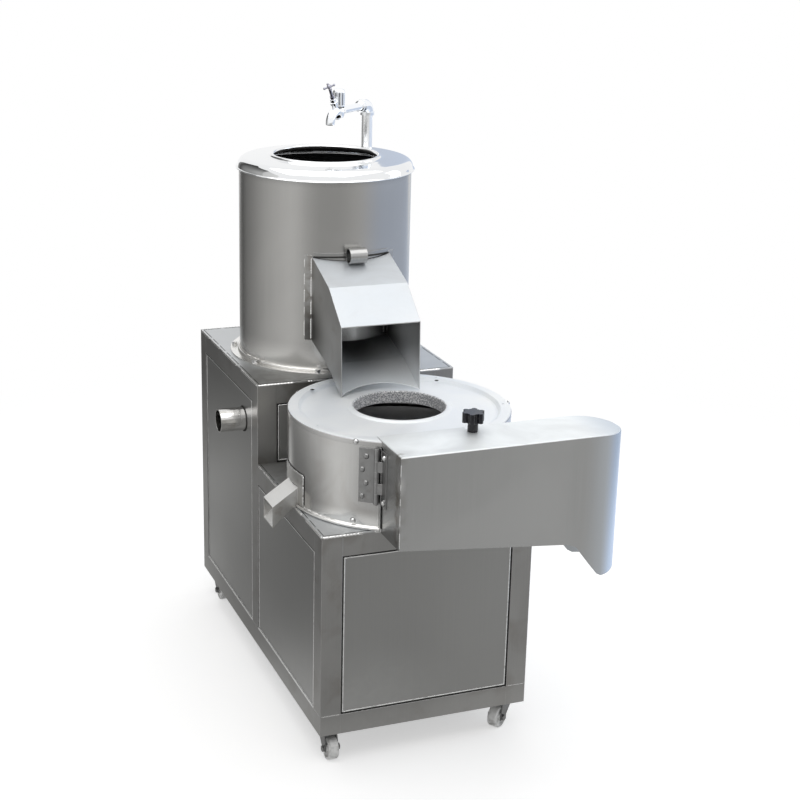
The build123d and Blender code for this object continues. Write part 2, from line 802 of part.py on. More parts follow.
# Gate: a curved plate that slides up between the drum and two guide strips
gate_r = drum_r + free_gap
gate_half = degrees(asin((half_w - sheet - 1.0) / (gate_r + gate_t)))
gate_top = chute_root_z + 8
gate_low = knee_z
gate = wall_arc(gate_r, gate_r + gate_t, -90 - gate_half, -90 + gate_half, gate_low, gate_top, drum_x, drum_y)
floor_rise = sheet * hypot(1, floor_slope) + gate_lift
floor_line = [(y, knee_z + (y - knee_y) * floor_slope + floor_rise) for y in (knee_y, drum_y)]
gate -= side_plate([*floor_line, (drum_y, gate_low - 10), (knee_y, gate_low - 10)], *bore_x)
guide_r = gate_r + gate_t + free_gap
keep = block(*bore_x, drum_front - 30, drum_y, gate_low, gate_top)
for side in (-1, 1):
    a0, a1 = sorted((-90 + side * (gate_half - 3), -90 + side * (gate_half + 2)))
    strip = wall_arc(guide_r, guide_r + 2, a0, a1, root_floor_z + 6, chute_root_z - 18, drum_x, drum_y)
    chute += strip & keep
nodes["discharge_chute"] = chute

handle_y = drum_y - gate_r - gate_t - gate_handle_r + 0.2
handle_z = fold_z + (handle_y - fold_y) * slope_top + gate_handle_r * 1.07 + 1.2
handle_at = Pos(drum_x, handle_y, handle_z) * Rot(0, 90, 0)
handle = handle_at * Cylinder(gate_handle_r, gate_handle_w)
handle -= handle_at * Cylinder(gate_handle_r - gate_handle_t, gate_handle_w + 2)
handle -= rod(gate_r + gate_t, handle_z - 60, handle_z + 60, drum_x, drum_y)
nodes["chute_gate"] = gate + handle

# ---------------------------------------------------------------- water riser and tap
riser_x, riser_y = polar(drum_x, drum_y, riser_out, riser_angle)
inlet_end = cab_len - 12
riser_route = FilletPolyline(
    (riser_x, inlet_end, riser_foot),
    (riser_x, riser_y, riser_foot),
    (riser_x, riser_y, riser_top - 24),
    radius=20,
)
inlet_face = Plane((riser_x, inlet_end, riser_foot), z_dir=(0, -1, 0))
nodes["riser_pipe"] = sweep(inlet_face * (Circle(riser_r) - Circle(riser_bore)), path=riser_route)
arm_end_x, arm_end_y = polar(riser_x, riser_y, 30, tap_angle)
elbow_route = FilletPolyline(
    (riser_x, riser_y, riser_top - 24),
    (riser_x, riser_y, riser_top),
    (arm_end_x, arm_end_y, riser_top),
    radius=18,
)
elbow_low = Plane((riser_x, riser_y, riser_top - 24), z_dir=(0, 0, 1))
elbow = sweep(elbow_low * Circle(riser_r + 2), path=elbow_route)
elbow += rod(riser_r + 4, riser_top - 24, riser_top - 16, riser_x, riser_y)
elbow -= sweep(elbow_low * Circle(riser_bore), path=elbow_route)
nodes["pipe_elbow"] = elbow

clips = []
for z in clip_heights:
    band = pipe(riser_r + 2, riser_r, z - 9, z + 9, riser_x, riser_y)
    toward = Pos(riser_x, riser_y, 0) * Rot(0, 0, riser_angle + 180)
    foot = toward * block(riser_r, riser_out - drum_r + 2, -12, 12, z - 9, z + 9)
    clip = band + (foot - rod(drum_r, z - 20, z + 20, drum_x, drum_y))
    clips.append(clip - rod(riser_r, z - 20, z + 20, riser_x, riser_y))
nodes["riser_clips"] = group(*clips)

# Tap, drawn along +X from the elbow's end, then turned to its bearing
arm = tap_reach - 30
bonnet_r = 14.5
bonnet_h = 46.0
tap = Pos(arm / 2, 0, 0) * Rot(0, 90, 0) * Cylinder(9.5, arm)
tap += Pos(4, 0, 0) * Rot(0, 90, 0) * Cylinder(14, 8)
tap += rod(13.5, -15, 12, arm, 0)
bonnet = rod(bonnet_r, 10, bonnet_h, arm, 0)
for i in range(10):
    flute = rod(2.2, 14, bonnet_h - 3, *polar(arm, 0, bonnet_r + 0.8, i * 36))
    bonnet -= flute
dome = [(0, bonnet_h), (bonnet_r, bonnet_h), (bonnet_r - 4, bonnet_h + 5), (0, bonnet_h + 8)]
tap += bonnet + turned(dome, arm, 0)
nozzle_route = FilletPolyline((arm, 0, 0), (arm + spout_out, 0, 0), (arm + spout_out, 0, -34), radius=26)
tap += sweep(Plane((arm, 0, 0), z_dir=(1, 0, 0)) * Circle(10.5), path=nozzle_route)
tap += rod(nozzle_r, -42, -26, arm + spout_out, 0)
tap += rod(5, -20, -8, arm + 3, 0)
stem_at = Pos(arm + 22, 0, 21) * Rot(0, stem_tilt, 0)
tap += stem_at * (rod(7, -16, 12) + rod(9, -3, 3))
tap -= rod(nozzle_r - 3, -50, -20, arm + spout_out, 0)
tap_place = Pos(arm_end_x, arm_end_y, riser_top) * Rot(0, 0, tap_angle)
nodes["tap_body"] = tap_place * tap

# Cross handle with four ball-ended arms on the inclined spindle
grip = rod(3.5, 12.3, stem_reach) + rod(5.5, 14, 19) + Pos(0, 0, stem_reach) * Sphere(5.5)
for i in range(4):
    spoke = Pos(handle_reach / 2, 0, 0) * Rot(0, 90, 0) * Cylinder(2.2, handle_reach)
    spoke += Pos(handle_reach, 0, 0) * Sphere(2.9)
    grip += Pos(0, 0, stem_reach) * Rot(0, 0, 45 + 90 * i) * spoke
nodes["tap_handle"] = tap_place * stem_at * grip

# ---------------------------------------------------------------- slicer drum
slicer_at = (slicer_x, slicer_y)
outlet = wall_arc(slicer_r - 40, slicer_r + 20, outlet_a0, outlet_a1, outlet_low, outlet_top, *slicer_at)
spout_half = spout_w / 2
spout_in = spout_half - sheet
floor_t = 2.0
slicer = pipe(slicer_r, slicer_r - slicer_t, low_z, slicer_wall_top, slicer_x, slicer_y)
bead = Pos(slicer_x, slicer_y, low_z + bead_r) * Torus(slicer_r + bead_r - 0.5, bead_r)
spout_side = slicer_x - slicer_r
spout_cut = (spout_side - 20, spout_side + 40)
bead_top = low_z + 2 * bead_r + 1
bead -= block(*spout_cut, slicer_y - spout_half - 1, slicer_y + spout_half + 1, low_z, bead_top)
bead -= block(slicer_x - slicer_r, slicer_x + slicer_r, step_y - free_gap, step_y + 20, low_z, bead_top)
slicer += bead
slicer -= outlet
spout_y = (slicer_y - spout_in, slicer_y + spout_in)
slicer -= block(*spout_cut, *spout_y, low_z + floor_t + 1, spout_top - sheet)
slicer += pipe(slicer_r - 1, shaft_r + 12, low_z, low_z + floor_t, slicer_x, slicer_y)
slicer += pipe(shaft_r + 14, shaft_r + 11, low_z, low_z + slicer_neck_h, slicer_x, slicer_y)
nodes["slicer_drum"] = slicer

rim_in = lid_r - lid_rim_w
lid_profile = [
    (slicer_r - slicer_t - 6, slicer_wall_top - 5),
    (slicer_r - slicer_t - 0.6, slicer_wall_top - 5),
    (slicer_r - slicer_t - 0.6, slicer_wall_top),
    (lid_r, slicer_wall_top),
    (lid_r, lid_top - 4),
    (lid_r - 1.6, lid_top - 1),
    (lid_r - 5, lid_top),
    (rim_in + 3, lid_top),
    (rim_in - 3, lid_top - 7),
    (rim_in - 8, lid_top - 7.6),
    (slicer_feed_r + 14, lid_top - 3),
    (slicer_feed_r + 8, lid_top + 0.4),
    (slicer_feed_r + 2, lid_top + 0.4),
    (slicer_feed_r, lid_top - 1.4),
    (slicer_feed_r, lid_top - 26),
    (slicer_feed_r + 7, lid_top - 26),
    (slicer_feed_r + 10, lid_top - 12),
    (slicer_r - slicer_t - 8, lid_top - 16.5),
]
lid = turned(lid_profile, slicer_x, slicer_y)
lid -= rod(stud_r, slicer_wall_top - 20, lid_top + 1, stud_x, stud_y)
for angle in (122, 47, -15, -160):
    hole_x, hole_y = polar(slicer_x, slicer_y, lid_r - lid_rim_w / 2 - 2, angle)
    lid -= rod(3.0, slicer_wall_top + 4, lid_top + 1, hole_x, hole_y)
nodes["slicer_lid"] = lid


def wall_screw(angle, z, r):
    """Round-head screw set radially in the drum's wall."""
    x, y = polar(slicer_x, slicer_y, r, angle)
    return Pos(x, y, z) * Rot(0, 0, angle) * Rot(0, 90, 0) * round_head()


screws = []
for angle in (-133, 137, 47, -10):
    screws.append(wall_screw(angle, (slicer_wall_top + lid_top) / 2, lid_r))
    screws.append(wall_screw(angle - 1, low_z + 2 * bead_r + 7, slicer_r))
nodes["slicer_screws"] = group(*screws)

# Rinse spout: a folded channel on the left of the slicer drum
spout_outline = [
    (slicer_r - 6, spout_top),
    (spout_reach, spout_lip_top),
    (spout_reach, spout_lip_top - spout_h),
    (slicer_r + 9, low_z + 1.0),
    (slicer_r - 6, low_z + 1.0),
]
drop = (spout_top - spout_lip_top) / (spout_reach - slicer_r + 6)
fall = (low_z + 1.0 - spout_lip_top + spout_h) / (spout_reach - slicer_r - 9)
spout_bore = [
    (slicer_r - 30, spout_top - 1.3 * sheet + 24 * drop),
    (spout_reach + 10, spout_lip_top - 1.3 * sheet - 10 * drop),
    (spout_reach + 10, spout_lip_top - spout_h + 1.3 * sheet - 10 * fall),
    (slicer_r + 9, low_z + 1.0 + sheet),
    (slicer_r - 30, low_z + 1.0 + sheet),
]
spout = front_plate(spout_outline, -spout_half, spout_half) - front_plate(spout_bore, -spout_in, spout_in)
spout = Pos(slicer_x, slicer_y, 0) * Rot(0, 0, 180) * spout
spout -= rod(slicer_r, low_z - 60, spout_top + 60, slicer_x, slicer_y)
patch_half = degrees((spout_half + spout_flange) / slicer_r)
patch_arc = (180 - patch_half, 180 + patch_half)
patch_z = (low_z + 2 * bead_r + 0.5, spout_top + spout_patch_up)
patch = wall_arc(slicer_r, slicer_r + sheet, *patch_arc, *patch_z, *slicer_at)
patch -= block(spout_side - 20, slicer_x, *spout_y, low_z, spout_top - sheet)
nodes["rinse_spout"] = spout + patch

# ---------------------------------------------------------------- cutter disc, blades and shaft
slicer_shaft_low = slicer_pulley_z - pulley_w / 2 - 6
cutter_under = cutter_top - cutter_t
cutter = rod(cutter_r, cutter_under, cutter_top, slicer_x, slicer_y)
slot_in = 55.0
for i in range(blades):
    turn_slot = Pos(slicer_x, slicer_y, 0) * Rot(0, 0, cutter_start + i * 360 / blades)
    cutter -= turn_slot * block(slot_in, cutter_r - 12, -9, 11, cutter_under - 1, cutter_top + 1)
cutter += rod(32, cutter_under - 34, cutter_under, slicer_x, slicer_y)
for i in range(blades):
    angle = cutter_start + (i + 0.5) * 360 / blades
    vane = block(30, cutter_r - 14, -2.5, 2.5, cutter_under - paddle_h, cutter_under)
    cutter += Pos(slicer_x, slicer_y, 0) * Rot(0, 0, angle) * vane
cutter -= rod(shaft_r, cutter_under - 50, cutter_top - 1, slicer_x, slicer_y)
hub_cap = [(0, cutter_top - 1), (26, cutter_top - 1), (22, cutter_top + 8), (0, cutter_top + 12)]
nodes["cutter_disc"] = cutter + turned(hub_cap, *slicer_at)

knives = []
for i in range(blades):
    knife = Polygon((-30, 0), (-9, 0), (0, 2.6), (-2, 3.2), (-12, 2.4), (-30, 2.4), align=None)
    solid = Pos(slot_in + 2, 0, cutter_top) * extrude(Plane.YZ * knife, cutter_r - 16 - slot_in)
    knives.append(Pos(slicer_x, slicer_y, 0) * Rot(0, 0, cutter_start + i * 360 / blades) * solid)
nodes["cutter_blades"] = group(*knives)
nodes["slicer_shaft"] = rod(shaft_r, slicer_shaft_low, cutter_top - 1, slicer_x, slicer_y)

# ---------------------------------------------------------------- discharge hood
hood_top = lid_top + 0.4 + 0.4 + sheet


def hood_plan(inset):
    """Plan outline of the hood, drawn inside its outer face by inset."""
    left, right = hood_left + inset, hood_right - inset
    front, back = hood_front + inset, hood_back - inset
    r1, r2 = hood_front_corner - inset, hood_back_corner - inset
    k1, k2 = r1 * (1 - sqrt(0.5)), r2 * (1 - sqrt(0.5))
    edges = [
        Line((left, back), (left, front)),
        Line((left, front), (right - r1, front)),
        ThreePointArc((right - r1, front), (right - k1, front + k1), (right, front + r1)),
        Line((right, front + r1), (right, back - r2)),
        ThreePointArc((right, back - r2), (right - k2, back - k2), (right - r2, back)),
        Line((right - r2, back), (left, back)),
    ]
    return make_face(Wire(edges))


hood_low = hood_tongue_z - 5
skin = Pos(0, 0, hood_low) * extrude(hood_plan(0), hood_top - hood_low)
round_edges = skin.edges().group_by(Axis.Z)[-1].filter_by(lambda e: e.center().Y < hood_back - 10)
skin = fillet(round_edges, hood_bend)
core = Pos(0, 0, hood_low - 1) * extrude(hood_plan(sheet), hood_top - sheet - hood_low + 1)
core_edges = core.edges().group_by(Axis.Z)[-1].filter_by(lambda e: e.center().Y < hood_back - 10)
core = fillet(core_edges, hood_bend - sheet)
hood = skin - core
below = hood_low - 10
trim = (
    (hood_left - 10, below),
    (hood_left - 10, hood_low_left),
    (hood_left, hood_low_left),
    (hood_mid_x, hood_low_mid),
    (hood_mid_x + 18, hood_low_mid - 8),
    (hood_tongue_x - 26, hood_tongue_z + 27),
    (hood_tongue_x - 8, hood_tongue_z + 5),
    (hood_tongue_x + 2, hood_tongue_z),
    (hood_right - 30, hood_tongue_z + 2),
    (hood_right + 10, hood_tongue_z + 14),
    (hood_right + 10, below),
)
hood -= front_plate(trim, hood_front - 10, hood_back + 10)
clear_deck = low_z + 3
hood -= block(hood_left - 10, side_x + 12, -4, hood_back + 10, below, clear_deck)
hood -= rod(lid_r + 1.2, below, lid_top + 0.8, slicer_x, slicer_y)
hood -= rod(slicer_r + 2 * bead_r + 1, below, low_z + 2 * bead_r + 2, slicer_x, slicer_y)
slot_w = 2 * stud_r + 6
hood -= block(stud_x - slot_w / 2, stud_x + slot_w / 2, stud_y, hood_back + 10, hood_top - 5, hood_top + 5)
hood -= rod(slot_w / 2, hood_top - 5, hood_top + 5, stud_x, stud_y)
nodes["discharge_hood"] = hood

hinge_x, hinge_y = polar(slicer_x, slicer_y, slicer_r + hinge_barrel_r + hinge_stand, hinge_angle)
knuckles = 5
knuckle_h = (hinge_high - hinge_low) / knuckles


def barrel(index):
    low = hinge_low + index * knuckle_h
    return pipe(hinge_barrel_r, hinge_pin_r, low + 0.2, low + knuckle_h - 0.2, hinge_x, hinge_y)


leaf_a1 = outlet_a0 - 1.0
leaf_a0 = leaf_a1 - degrees(leaf_w / slicer_r)
leaf_r = slicer_r
fixed_leaf = wall_arc(leaf_r, leaf_r + leaf_t, leaf_a0, leaf_a1, hinge_low, hinge_high, *slicer_at)
fixed = fixed_leaf - rod(hinge_barrel_r + 0.4, hinge_low - 1, hinge_high + 1, hinge_x, hinge_y)
for index in (0, 2, 4):
    tongue_z = (hinge_low + index * knuckle_h + 0.2, hinge_low + (index + 1) * knuckle_h - 0.2)
    tongue = wall_arc(leaf_r, leaf_r + leaf_t, leaf_a1 - 2, hinge_angle, *tongue_z, *slicer_at)
    fixed += tongue - rod(hinge_pin_r + 1, hinge_low - 1, hinge_high + 1, hinge_x, hinge_y)
    fixed += barrel(index)
leaf_screws = []
for i in range(4):
    screw_z = hinge_low + 14 + 28.7 * i
    leaf_screws.append(wall_screw(-129.3 + 1.9 * (i % 2), screw_z, slicer_r + leaf_t))
hinge_pin = rod(hinge_pin_r, hinge_low - 2, hinge_high + 2, hinge_x, hinge_y)
hinge_pin += rod(hinge_pin_r + 2, hinge_high, hinge_high + 2.5, hinge_x, hinge_y)
nodes["hinge_fixed_leaf"] = group(fixed + hinge_pin, *leaf_screws)

moving_x = hood_left
moving = block(moving_x - leaf_t, moving_x, hinge_y - leaf_w, hinge_y - 6, hinge_low, hinge_high)
for index in (1, 3):
    low = hinge_low + index * knuckle_h + 0.25
    high = low + knuckle_h - 0.5
    arm_plate = Polygon(
        (hinge_x, hinge_y - hinge_barrel_r),
        (moving_x - leaf_t, hinge_y - 12),
        (moving_x, hinge_y - 12),
        (moving_x, hinge_y - 8),
        (hinge_x + 2, hinge_y - hinge_barrel_r + 2),
        align=None,
    )
    moving += Pos(0, 0, low) * extrude(arm_plate, high - low)
    knuckle = pipe(hinge_barrel_r, hinge_pin_r + run_gap, low, high, hinge_x, hinge_y)
    moving = moving + knuckle - rod(hinge_pin_r + run_gap, low - 1, high + 1, hinge_x, hinge_y)
for z in (hinge_low + 13, hinge_high - 13):
    moving += Pos(moving_x - leaf_t, hinge_y - 24, z) * Rot(0, -90, 0) * round_head()
nodes["hinge_moving_leaf"] = moving

# ---------------------------------------------------------------- star knob
knob_low = hood_top + 0.4
stud_top = knob_low + 20
nodes["knob_stud"] = rod(stud_r, slicer_wall_top + 2, stud_top, stud_x, stud_y)
head_low = knob_low + knob_h * 0.5
star = RegularPolygon(knob_r - 5, 6, rotation=30)
lobe = Circle(6.2)
for i in range(6):
    star += Pos(*polar(0, 0, knob_r - 6.2, i * 60)) * lobe
knob = extrude(star, knob_h * 0.5)
knob = Pos(stud_x, stud_y, head_low) * knob
knob += rod(knob_hub_r, knob_low, head_low, stud_x, stud_y)
knob -= rod(stud_r + run_gap, knob_low - 1, stud_top + 1, stud_x, stud_y)
nodes["star_knob"] = knob

# ---------------------------------------------------------------- switch box and gland
box_face = side_x - panel_inset
case = Pos(box_face + box_d / 2, box_y, box_z) * Box(box_d, box_w, box_h)
case = fillet(case.edges().filter_by(Axis.X), 6)
case = fillet(case.faces().sort_by(Axis.X)[-1].edges(), 2)
face_x = box_face + box_d
pocket = 20.0 + button_travel + 3.0  # from above the collar to below the pressed cap
for name, side in (("peeler", 1), ("slicer", -1)):
    for action, row in (("start", 1), ("stop", -1)):
        axis_at = Pos(face_x, box_y + side * button_pitch / 2, box_z + row * button_pitch / 2) * Rot(0, 90, 0)
        case += axis_at * Pos(0, 0, 1) * Cylinder(button_r + 4, 4)
        case -= axis_at * Pos(0, 0, 10 - pocket / 2) * Cylinder(button_r + button_gap, pocket)
        cap = axis_at * Pos(0, 0, -1.5) * Cylinder(button_r, 17)
        nodes[f"{name}_{action}_button"] = fillet(cap.edges().sort_by(Axis.X)[-1], 1.5)
nodes["switch_box"] = case

gland_at = Pos(gland_x, cab_len - panel_inset, gland_z) * Rot(-90, 0, 0)
gland = gland_at * extrude(RegularPolygon(gland_r + 3, 6), 6)
gland += gland_at * Pos(0, 0, 9) * Cylinder(gland_r, gland_out * 2 - 18)
gland += gland_at * Pos(0, 0, -5) * Cylinder(gland_r - 2.2, 10)
gland -= gland_at * Cylinder(gland_r - 4.5, 80)
nodes["rear_panel"] -= gland_at * Cylinder(gland_r - 2, 10)
nodes["cable_gland"] = gland

# ---------------------------------------------------------------- origin and files
middle_x = (drain_end + hood_right) / 2
middle_y = (hood_front + cab_len - panel_inset + gland_out) / 2
place = Pos(-middle_x, -middle_y, 0)

if __name__ == "__main__":
    os.makedirs("parts", exist_ok=True)
    for name, shape in nodes.items():
        export_step(place * shape, f"parts/{name}.step")
    print(len(nodes), "nodes")
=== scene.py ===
import math
import random

import bmesh
import bpy
from mathutils import Matrix, Vector


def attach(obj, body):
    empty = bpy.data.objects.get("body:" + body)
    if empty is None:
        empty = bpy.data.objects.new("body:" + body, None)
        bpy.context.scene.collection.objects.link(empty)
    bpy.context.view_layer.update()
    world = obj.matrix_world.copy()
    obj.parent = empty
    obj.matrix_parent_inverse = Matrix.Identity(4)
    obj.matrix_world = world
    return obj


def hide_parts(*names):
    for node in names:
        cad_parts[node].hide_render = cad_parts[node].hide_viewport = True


for stale in [bpy.data.objects.get(name) for name in ("Cube", "Light", "Camera")]:
    if stale:
        bpy.data.objects.remove(stale)

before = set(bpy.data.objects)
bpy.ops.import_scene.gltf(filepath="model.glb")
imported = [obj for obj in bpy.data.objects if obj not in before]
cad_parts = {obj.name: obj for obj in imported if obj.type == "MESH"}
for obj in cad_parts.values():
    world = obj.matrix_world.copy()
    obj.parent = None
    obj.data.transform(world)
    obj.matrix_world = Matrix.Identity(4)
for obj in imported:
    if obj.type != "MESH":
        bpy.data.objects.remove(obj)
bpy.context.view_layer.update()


# -------- camera
# A long lens a little above the machine, looking across its front left corner.
# The camera is turned slightly about its own axis, as a hand-held one is.
def put(name, data):
    """A new object in the scene."""
    made = bpy.data.objects.new(name, data)
    bpy.context.scene.collection.objects.link(made)
    return made


lens = bpy.data.cameras.new("viewpoint")
lens.lens = 72.6
lens.sensor_width = 36.0
lens.clip_end = 60.0
viewpoint = put("viewpoint", lens)
stands_at = (-1.26835, -3.2558, 1.78405)
look_round, look_down, tilt = (math.radians(a) for a in (-21.98, 17.94, 1.42))
ahead = Vector((
    -math.sin(look_round) * math.cos(look_down),
    math.cos(look_round) * math.cos(look_down),
    -math.sin(look_down),
))
level = Vector((math.cos(look_round), math.sin(look_round), 0))
upward = level.cross(ahead)
side = level * math.cos(tilt) + upward * math.sin(tilt)
over = upward * math.cos(tilt) - level * math.sin(tilt)
viewpoint.matrix_world = Matrix.Translation(stands_at) @ Matrix((side, over, -ahead)).transposed().to_4x4()
bpy.context.scene.camera = viewpoint
bpy.context.scene.view_settings.view_transform = "Standard"


# -------- studio
# A pale floor that fades into a white surround, a large soft box overhead and
# two weaker ones behind and to the right. None of it belongs to the machine.
def plug(tree, node, feeds):
    """Sets a node's sockets to values, or links them."""
    for socket, value in dict(feeds).items():
        if isinstance(value, bpy.types.NodeSocket):
            tree.links.new(value, node.inputs[socket])
        else:
            node.inputs[socket].default_value = value
    return node


def lay(tree, kind, feeds=(), **settings):
    """One shader node with its settings and its sockets."""
    made = tree.nodes.new("ShaderNode" + kind)
    for name, value in settings.items():
        setattr(made, name, value)
    return plug(tree, made, feeds)


def number(tree, operation, *terms, clamp=False):
    """A sum on numbers."""
    return lay(tree, "Math", enumerate(terms), operation=operation, use_clamp=clamp).outputs[0]


def vector(tree, operation, *terms):
    """A sum on vectors; lengths and dot products come back as numbers."""
    made = lay(tree, "VectorMath", enumerate(terms), operation=operation)
    return made.outputs["Value" if operation in ("LENGTH", "DOT_PRODUCT") else 0]


def ranged(tree, value, low, high, first=0.0, last=1.0, soft=False):
    """A number between low and high, read as one between first and last."""
    return lay(tree, "MapRange", {0: value, 1: low, 2: high, 3: first, 4: last},
               interpolation_type="SMOOTHSTEP" if soft else "LINEAR").outputs[0]


def sum_of(tree, *parts):
    total = parts[0]
    for part in parts[1:]:
        total = number(tree, "ADD", total, part, clamp=True)
    return total


def seen_rays(tree):
    """1 for rays from the camera, off gloss or through glass, 0 for the rest."""
    path = lay(tree, "LightPath")
    return sum_of(tree, *(path.outputs["Is %s Ray" % k] for k in ("Camera", "Glossy", "Transmission")))


def position(tree):
    return lay(tree, "TexCoord").outputs["Object"]


def cleared(block):
    """The emptied node tree of a world or a material."""
    block.use_nodes = True
    block.node_tree.nodes.clear()
    return block.node_tree


def show(tree, shader, output="OutputMaterial"):
    tree.links.new(shader.outputs[0], lay(tree, output).inputs["Surface"])


def mesh_from(name, shape):
    """Turns a bmesh into a mesh."""
    mesh = bpy.data.meshes.new(name)
    shape.to_mesh(mesh)
    shape.free()
    return mesh


world = bpy.data.worlds.new("studio_air")
bpy.context.scene.world = world
air = cleared(world)
unseen_air = 0.36
air_level = ranged(air, seen_rays(air), 0.0, 1.0, unseen_air, 1.0)
show(air, lay(air, "Background", {"Color": (1, 1, 1, 1), "Strength": air_level}), "OutputWorld")

flat = bmesh.new()
bmesh.ops.create_circle(flat, cap_ends=True, segments=96, radius=14.0)
studio_floor = put("studio_floor", mesh_from("floor", flat))
studio_floor.location.z = -0.0005
paint = bpy.data.materials.new("floor_paint")
tree = cleared(paint)
seen = seen_rays(tree)
matt = lay(tree, "BsdfDiffuse", {"Color": (0.80, 0.80, 0.80, 1)})
lift = lay(tree, "Emission", {"Color": (1, 1, 1, 1), "Strength": number(tree, "MULTIPLY", seen, 0.50)})
near = lay(tree, "AddShader", {0: matt.outputs[0], 1: lift.outputs[0]})
plain_white = lay(tree, "Emission", {"Color": (1, 1, 1, 1), "Strength": 1.0})
far = lay(tree, "MixShader", {0: seen, 1: matt.outputs[0], 2: plain_white.outputs[0]})
fade = ranged(tree, vector(tree, "LENGTH", position(tree)), 0.9, 2.4, soft=True)
show(tree, lay(tree, "MixShader", {0: fade, 1: near.outputs[0], 2: far.outputs[0]}))
studio_floor.data.materials.append(paint)

for name, at, aim, wide, deep, watts, colour in (
    ("lamp_over", (-0.2, -0.3, 3.5), (0, 0, 0.8), 4.2, 3.9, 62, (1.0, 0.995, 0.985)),
    ("lamp_behind", (1.6, 4.2, 2.3), (0, 0, 0.9), 4.5, 1.9, 38, (0.96, 0.98, 1.0)),
    ("lamp_right", (3.4, -0.2, 1.7), (0, 0, 0.8), 1.2, 2.6, 16, (0.84, 0.90, 1.0)),
):
    panel = bpy.data.lights.new(name, "AREA")
    panel.shape = "RECTANGLE"
    panel.size = wide
    panel.size_y = deep
    panel.energy = watts
    panel.color = colour
    lamp = put(name, panel)
    lamp.location = at
    lamp.rotation_mode = "QUATERNION"
    lamp.rotation_quaternion = (Vector(aim) - Vector(at)).to_track_quat("-Z", "Y")
    lamp.visible_camera = False
    lamp.visible_glossy = name != "lamp_behind"

# A ring of grey cards round the machine with an apron on the floor, which only
# polished metal picks up. Each row is an angle from straight ahead, to the left,
# the tones of card, card foot and apron, their tint, and the card's height. The
# tallest cards darken towards their tops.
plain, cool, blue = (1.0, 1.0, 0.985), (0.97, 1.0, 1.06), (0.90, 1.0, 1.18)
cards_round = (
    (-180, (0.50, 0.50, 0.50), plain, 0.50), (-165, (0.60, 0.60, 0.53), cool, 0.50),
    (-158, (0.62, 0.62, 0.55), blue, 1.62), (-148, (0.70, 0.78, 0.58), blue, 1.75),
    (-141, (0.80, 0.92, 0.60), blue, 0.55), (-122, (0.66, 1.00, 0.65), blue, 1.15),
    (-96, (0.67, 1.02, 0.65), blue, 1.15), (-62, (0.66, 0.98, 0.62), blue, 1.15),
    (-42, (0.65, 0.76, 0.62), cool, 1.15), (-30, (0.64, 0.63, 0.62), plain, 1.15),
    (0, (0.50, 0.50, 0.54), plain, 1.15), (30, (0.48, 0.46, 0.52), plain, 1.15),
    (45, (0.58, 0.47, 0.50), plain, 1.15), (52, (0.66, 0.46, 0.50), plain, 1.15),
    (58, (0.74, 0.64, 0.54), plain, 1.15), (67, (0.84, 0.77, 0.55), plain, 1.20),
    (74, (0.84, 0.76, 0.52), plain, 1.25), (84, (0.78, 0.46, 0.50), plain, 1.30),
    (93, (0.73, 0.26, 0.48), plain, 1.50), (100, (0.68, 0.19, 0.46), plain, 1.70),
    (108, (0.62, 0.12, 0.42), plain, 1.90), (118, (0.52, 0.09, 0.38), plain, 2.10),
    (130, (0.38, 0.13, 0.36), plain, 2.10), (146, (0.26, 0.16, 0.48), plain, 2.10),
    (157, (0.06, 0.66, 0.58), plain, 2.10), (168, (0.40, 0.52, 0.50), plain, 0.90),
    (180, (0.50, 0.50, 0.50), plain, 0.50),
)
ring_radius, apron_radius, foot_height, ring_steps = 1.45, 0.30, 0.32, 120
on_floor, middle_share, tall, tall_shade = 0.001, 0.48, 2.0, 0.2
cards = bmesh.new()
tone_layer = cards.verts.layers.float_color.new("card_tone")
columns = []
for i in range(ring_steps):
    angle = -180 + 360 * i / ring_steps
    after = next(k for k in range(1, len(cards_round)) if cards_round[k][0] >= angle)
    (a, tones_a, tint_a, low), (b, tones_b, tint_b, high) = cards_round[after - 1], cards_round[after]
    mix = (angle - a) / (b - a)
    turn = math.radians(angle)
    column = []
    card_top = low * (1 - mix) + high * mix
    for reach, z, which, shade in (
        (apron_radius, on_floor, 2, 1), (ring_radius, on_floor, 1, 1), (ring_radius, foot_height, 0, 1),
        (ring_radius, card_top * middle_share, 0, 1),
        (ring_radius, card_top, 0, tall_shade if card_top > tall else 1),
    ):
        spot = cards.verts.new((-reach * math.sin(turn), -reach * math.cos(turn), z))
        spot[tone_layer] = tuple(
            shade * (tones_a[which] * p * (1 - mix) + tones_b[which] * q * mix) for p, q in zip(tint_a, tint_b)
        ) + (1,)
        column.append(spot)
    columns.append(column)
for here, there in zip(columns, columns[1:] + columns[:1]):
    for k in range(len(here) - 1):
        cards.faces.new((here[k], there[k], there[k + 1], here[k + 1]))
grey_cards = put("grey_cards", mesh_from("grey_cards", cards))
for ray in ("camera", "diffuse", "shadow", "transmission"):
    setattr(grey_cards, "visible_" + ray, False)
card_paint = bpy.data.materials.new("card_paint")
tree = cleared(card_paint)
tone = lay(tree, "Attribute", attribute_name="card_tone")
show(tree, lay(tree, "Emission", {"Color": tone.outputs["Color"], "Strength": 1.0}))
grey_cards.data.materials.append(card_paint)


# -------- cabinet frame
# Square stainless tube, mitred and welded, with the welds ground flush and the
# tube's brushed lines running along it. The motor plates are bolted to its rails.
def new_effect(name, inputs, outputs):
    """A node group; returns it with its inner input and output sockets."""
    group = bpy.data.node_groups.new(name, "ShaderNodeTree")
    for label, kind, value in inputs:
        socket = group.interface.new_socket(label, in_out="INPUT", socket_type="NodeSocket" + kind)
        socket.default_value = value
    for label, kind in outputs:
        group.interface.new_socket(label, in_out="OUTPUT", socket_type="NodeSocket" + kind)
    return group, group.nodes.new("NodeGroupInput").outputs, group.nodes.new("NodeGroupOutput").inputs


def normal_of(tree):
    return lay(tree, "NewGeometry").outputs["Normal"]


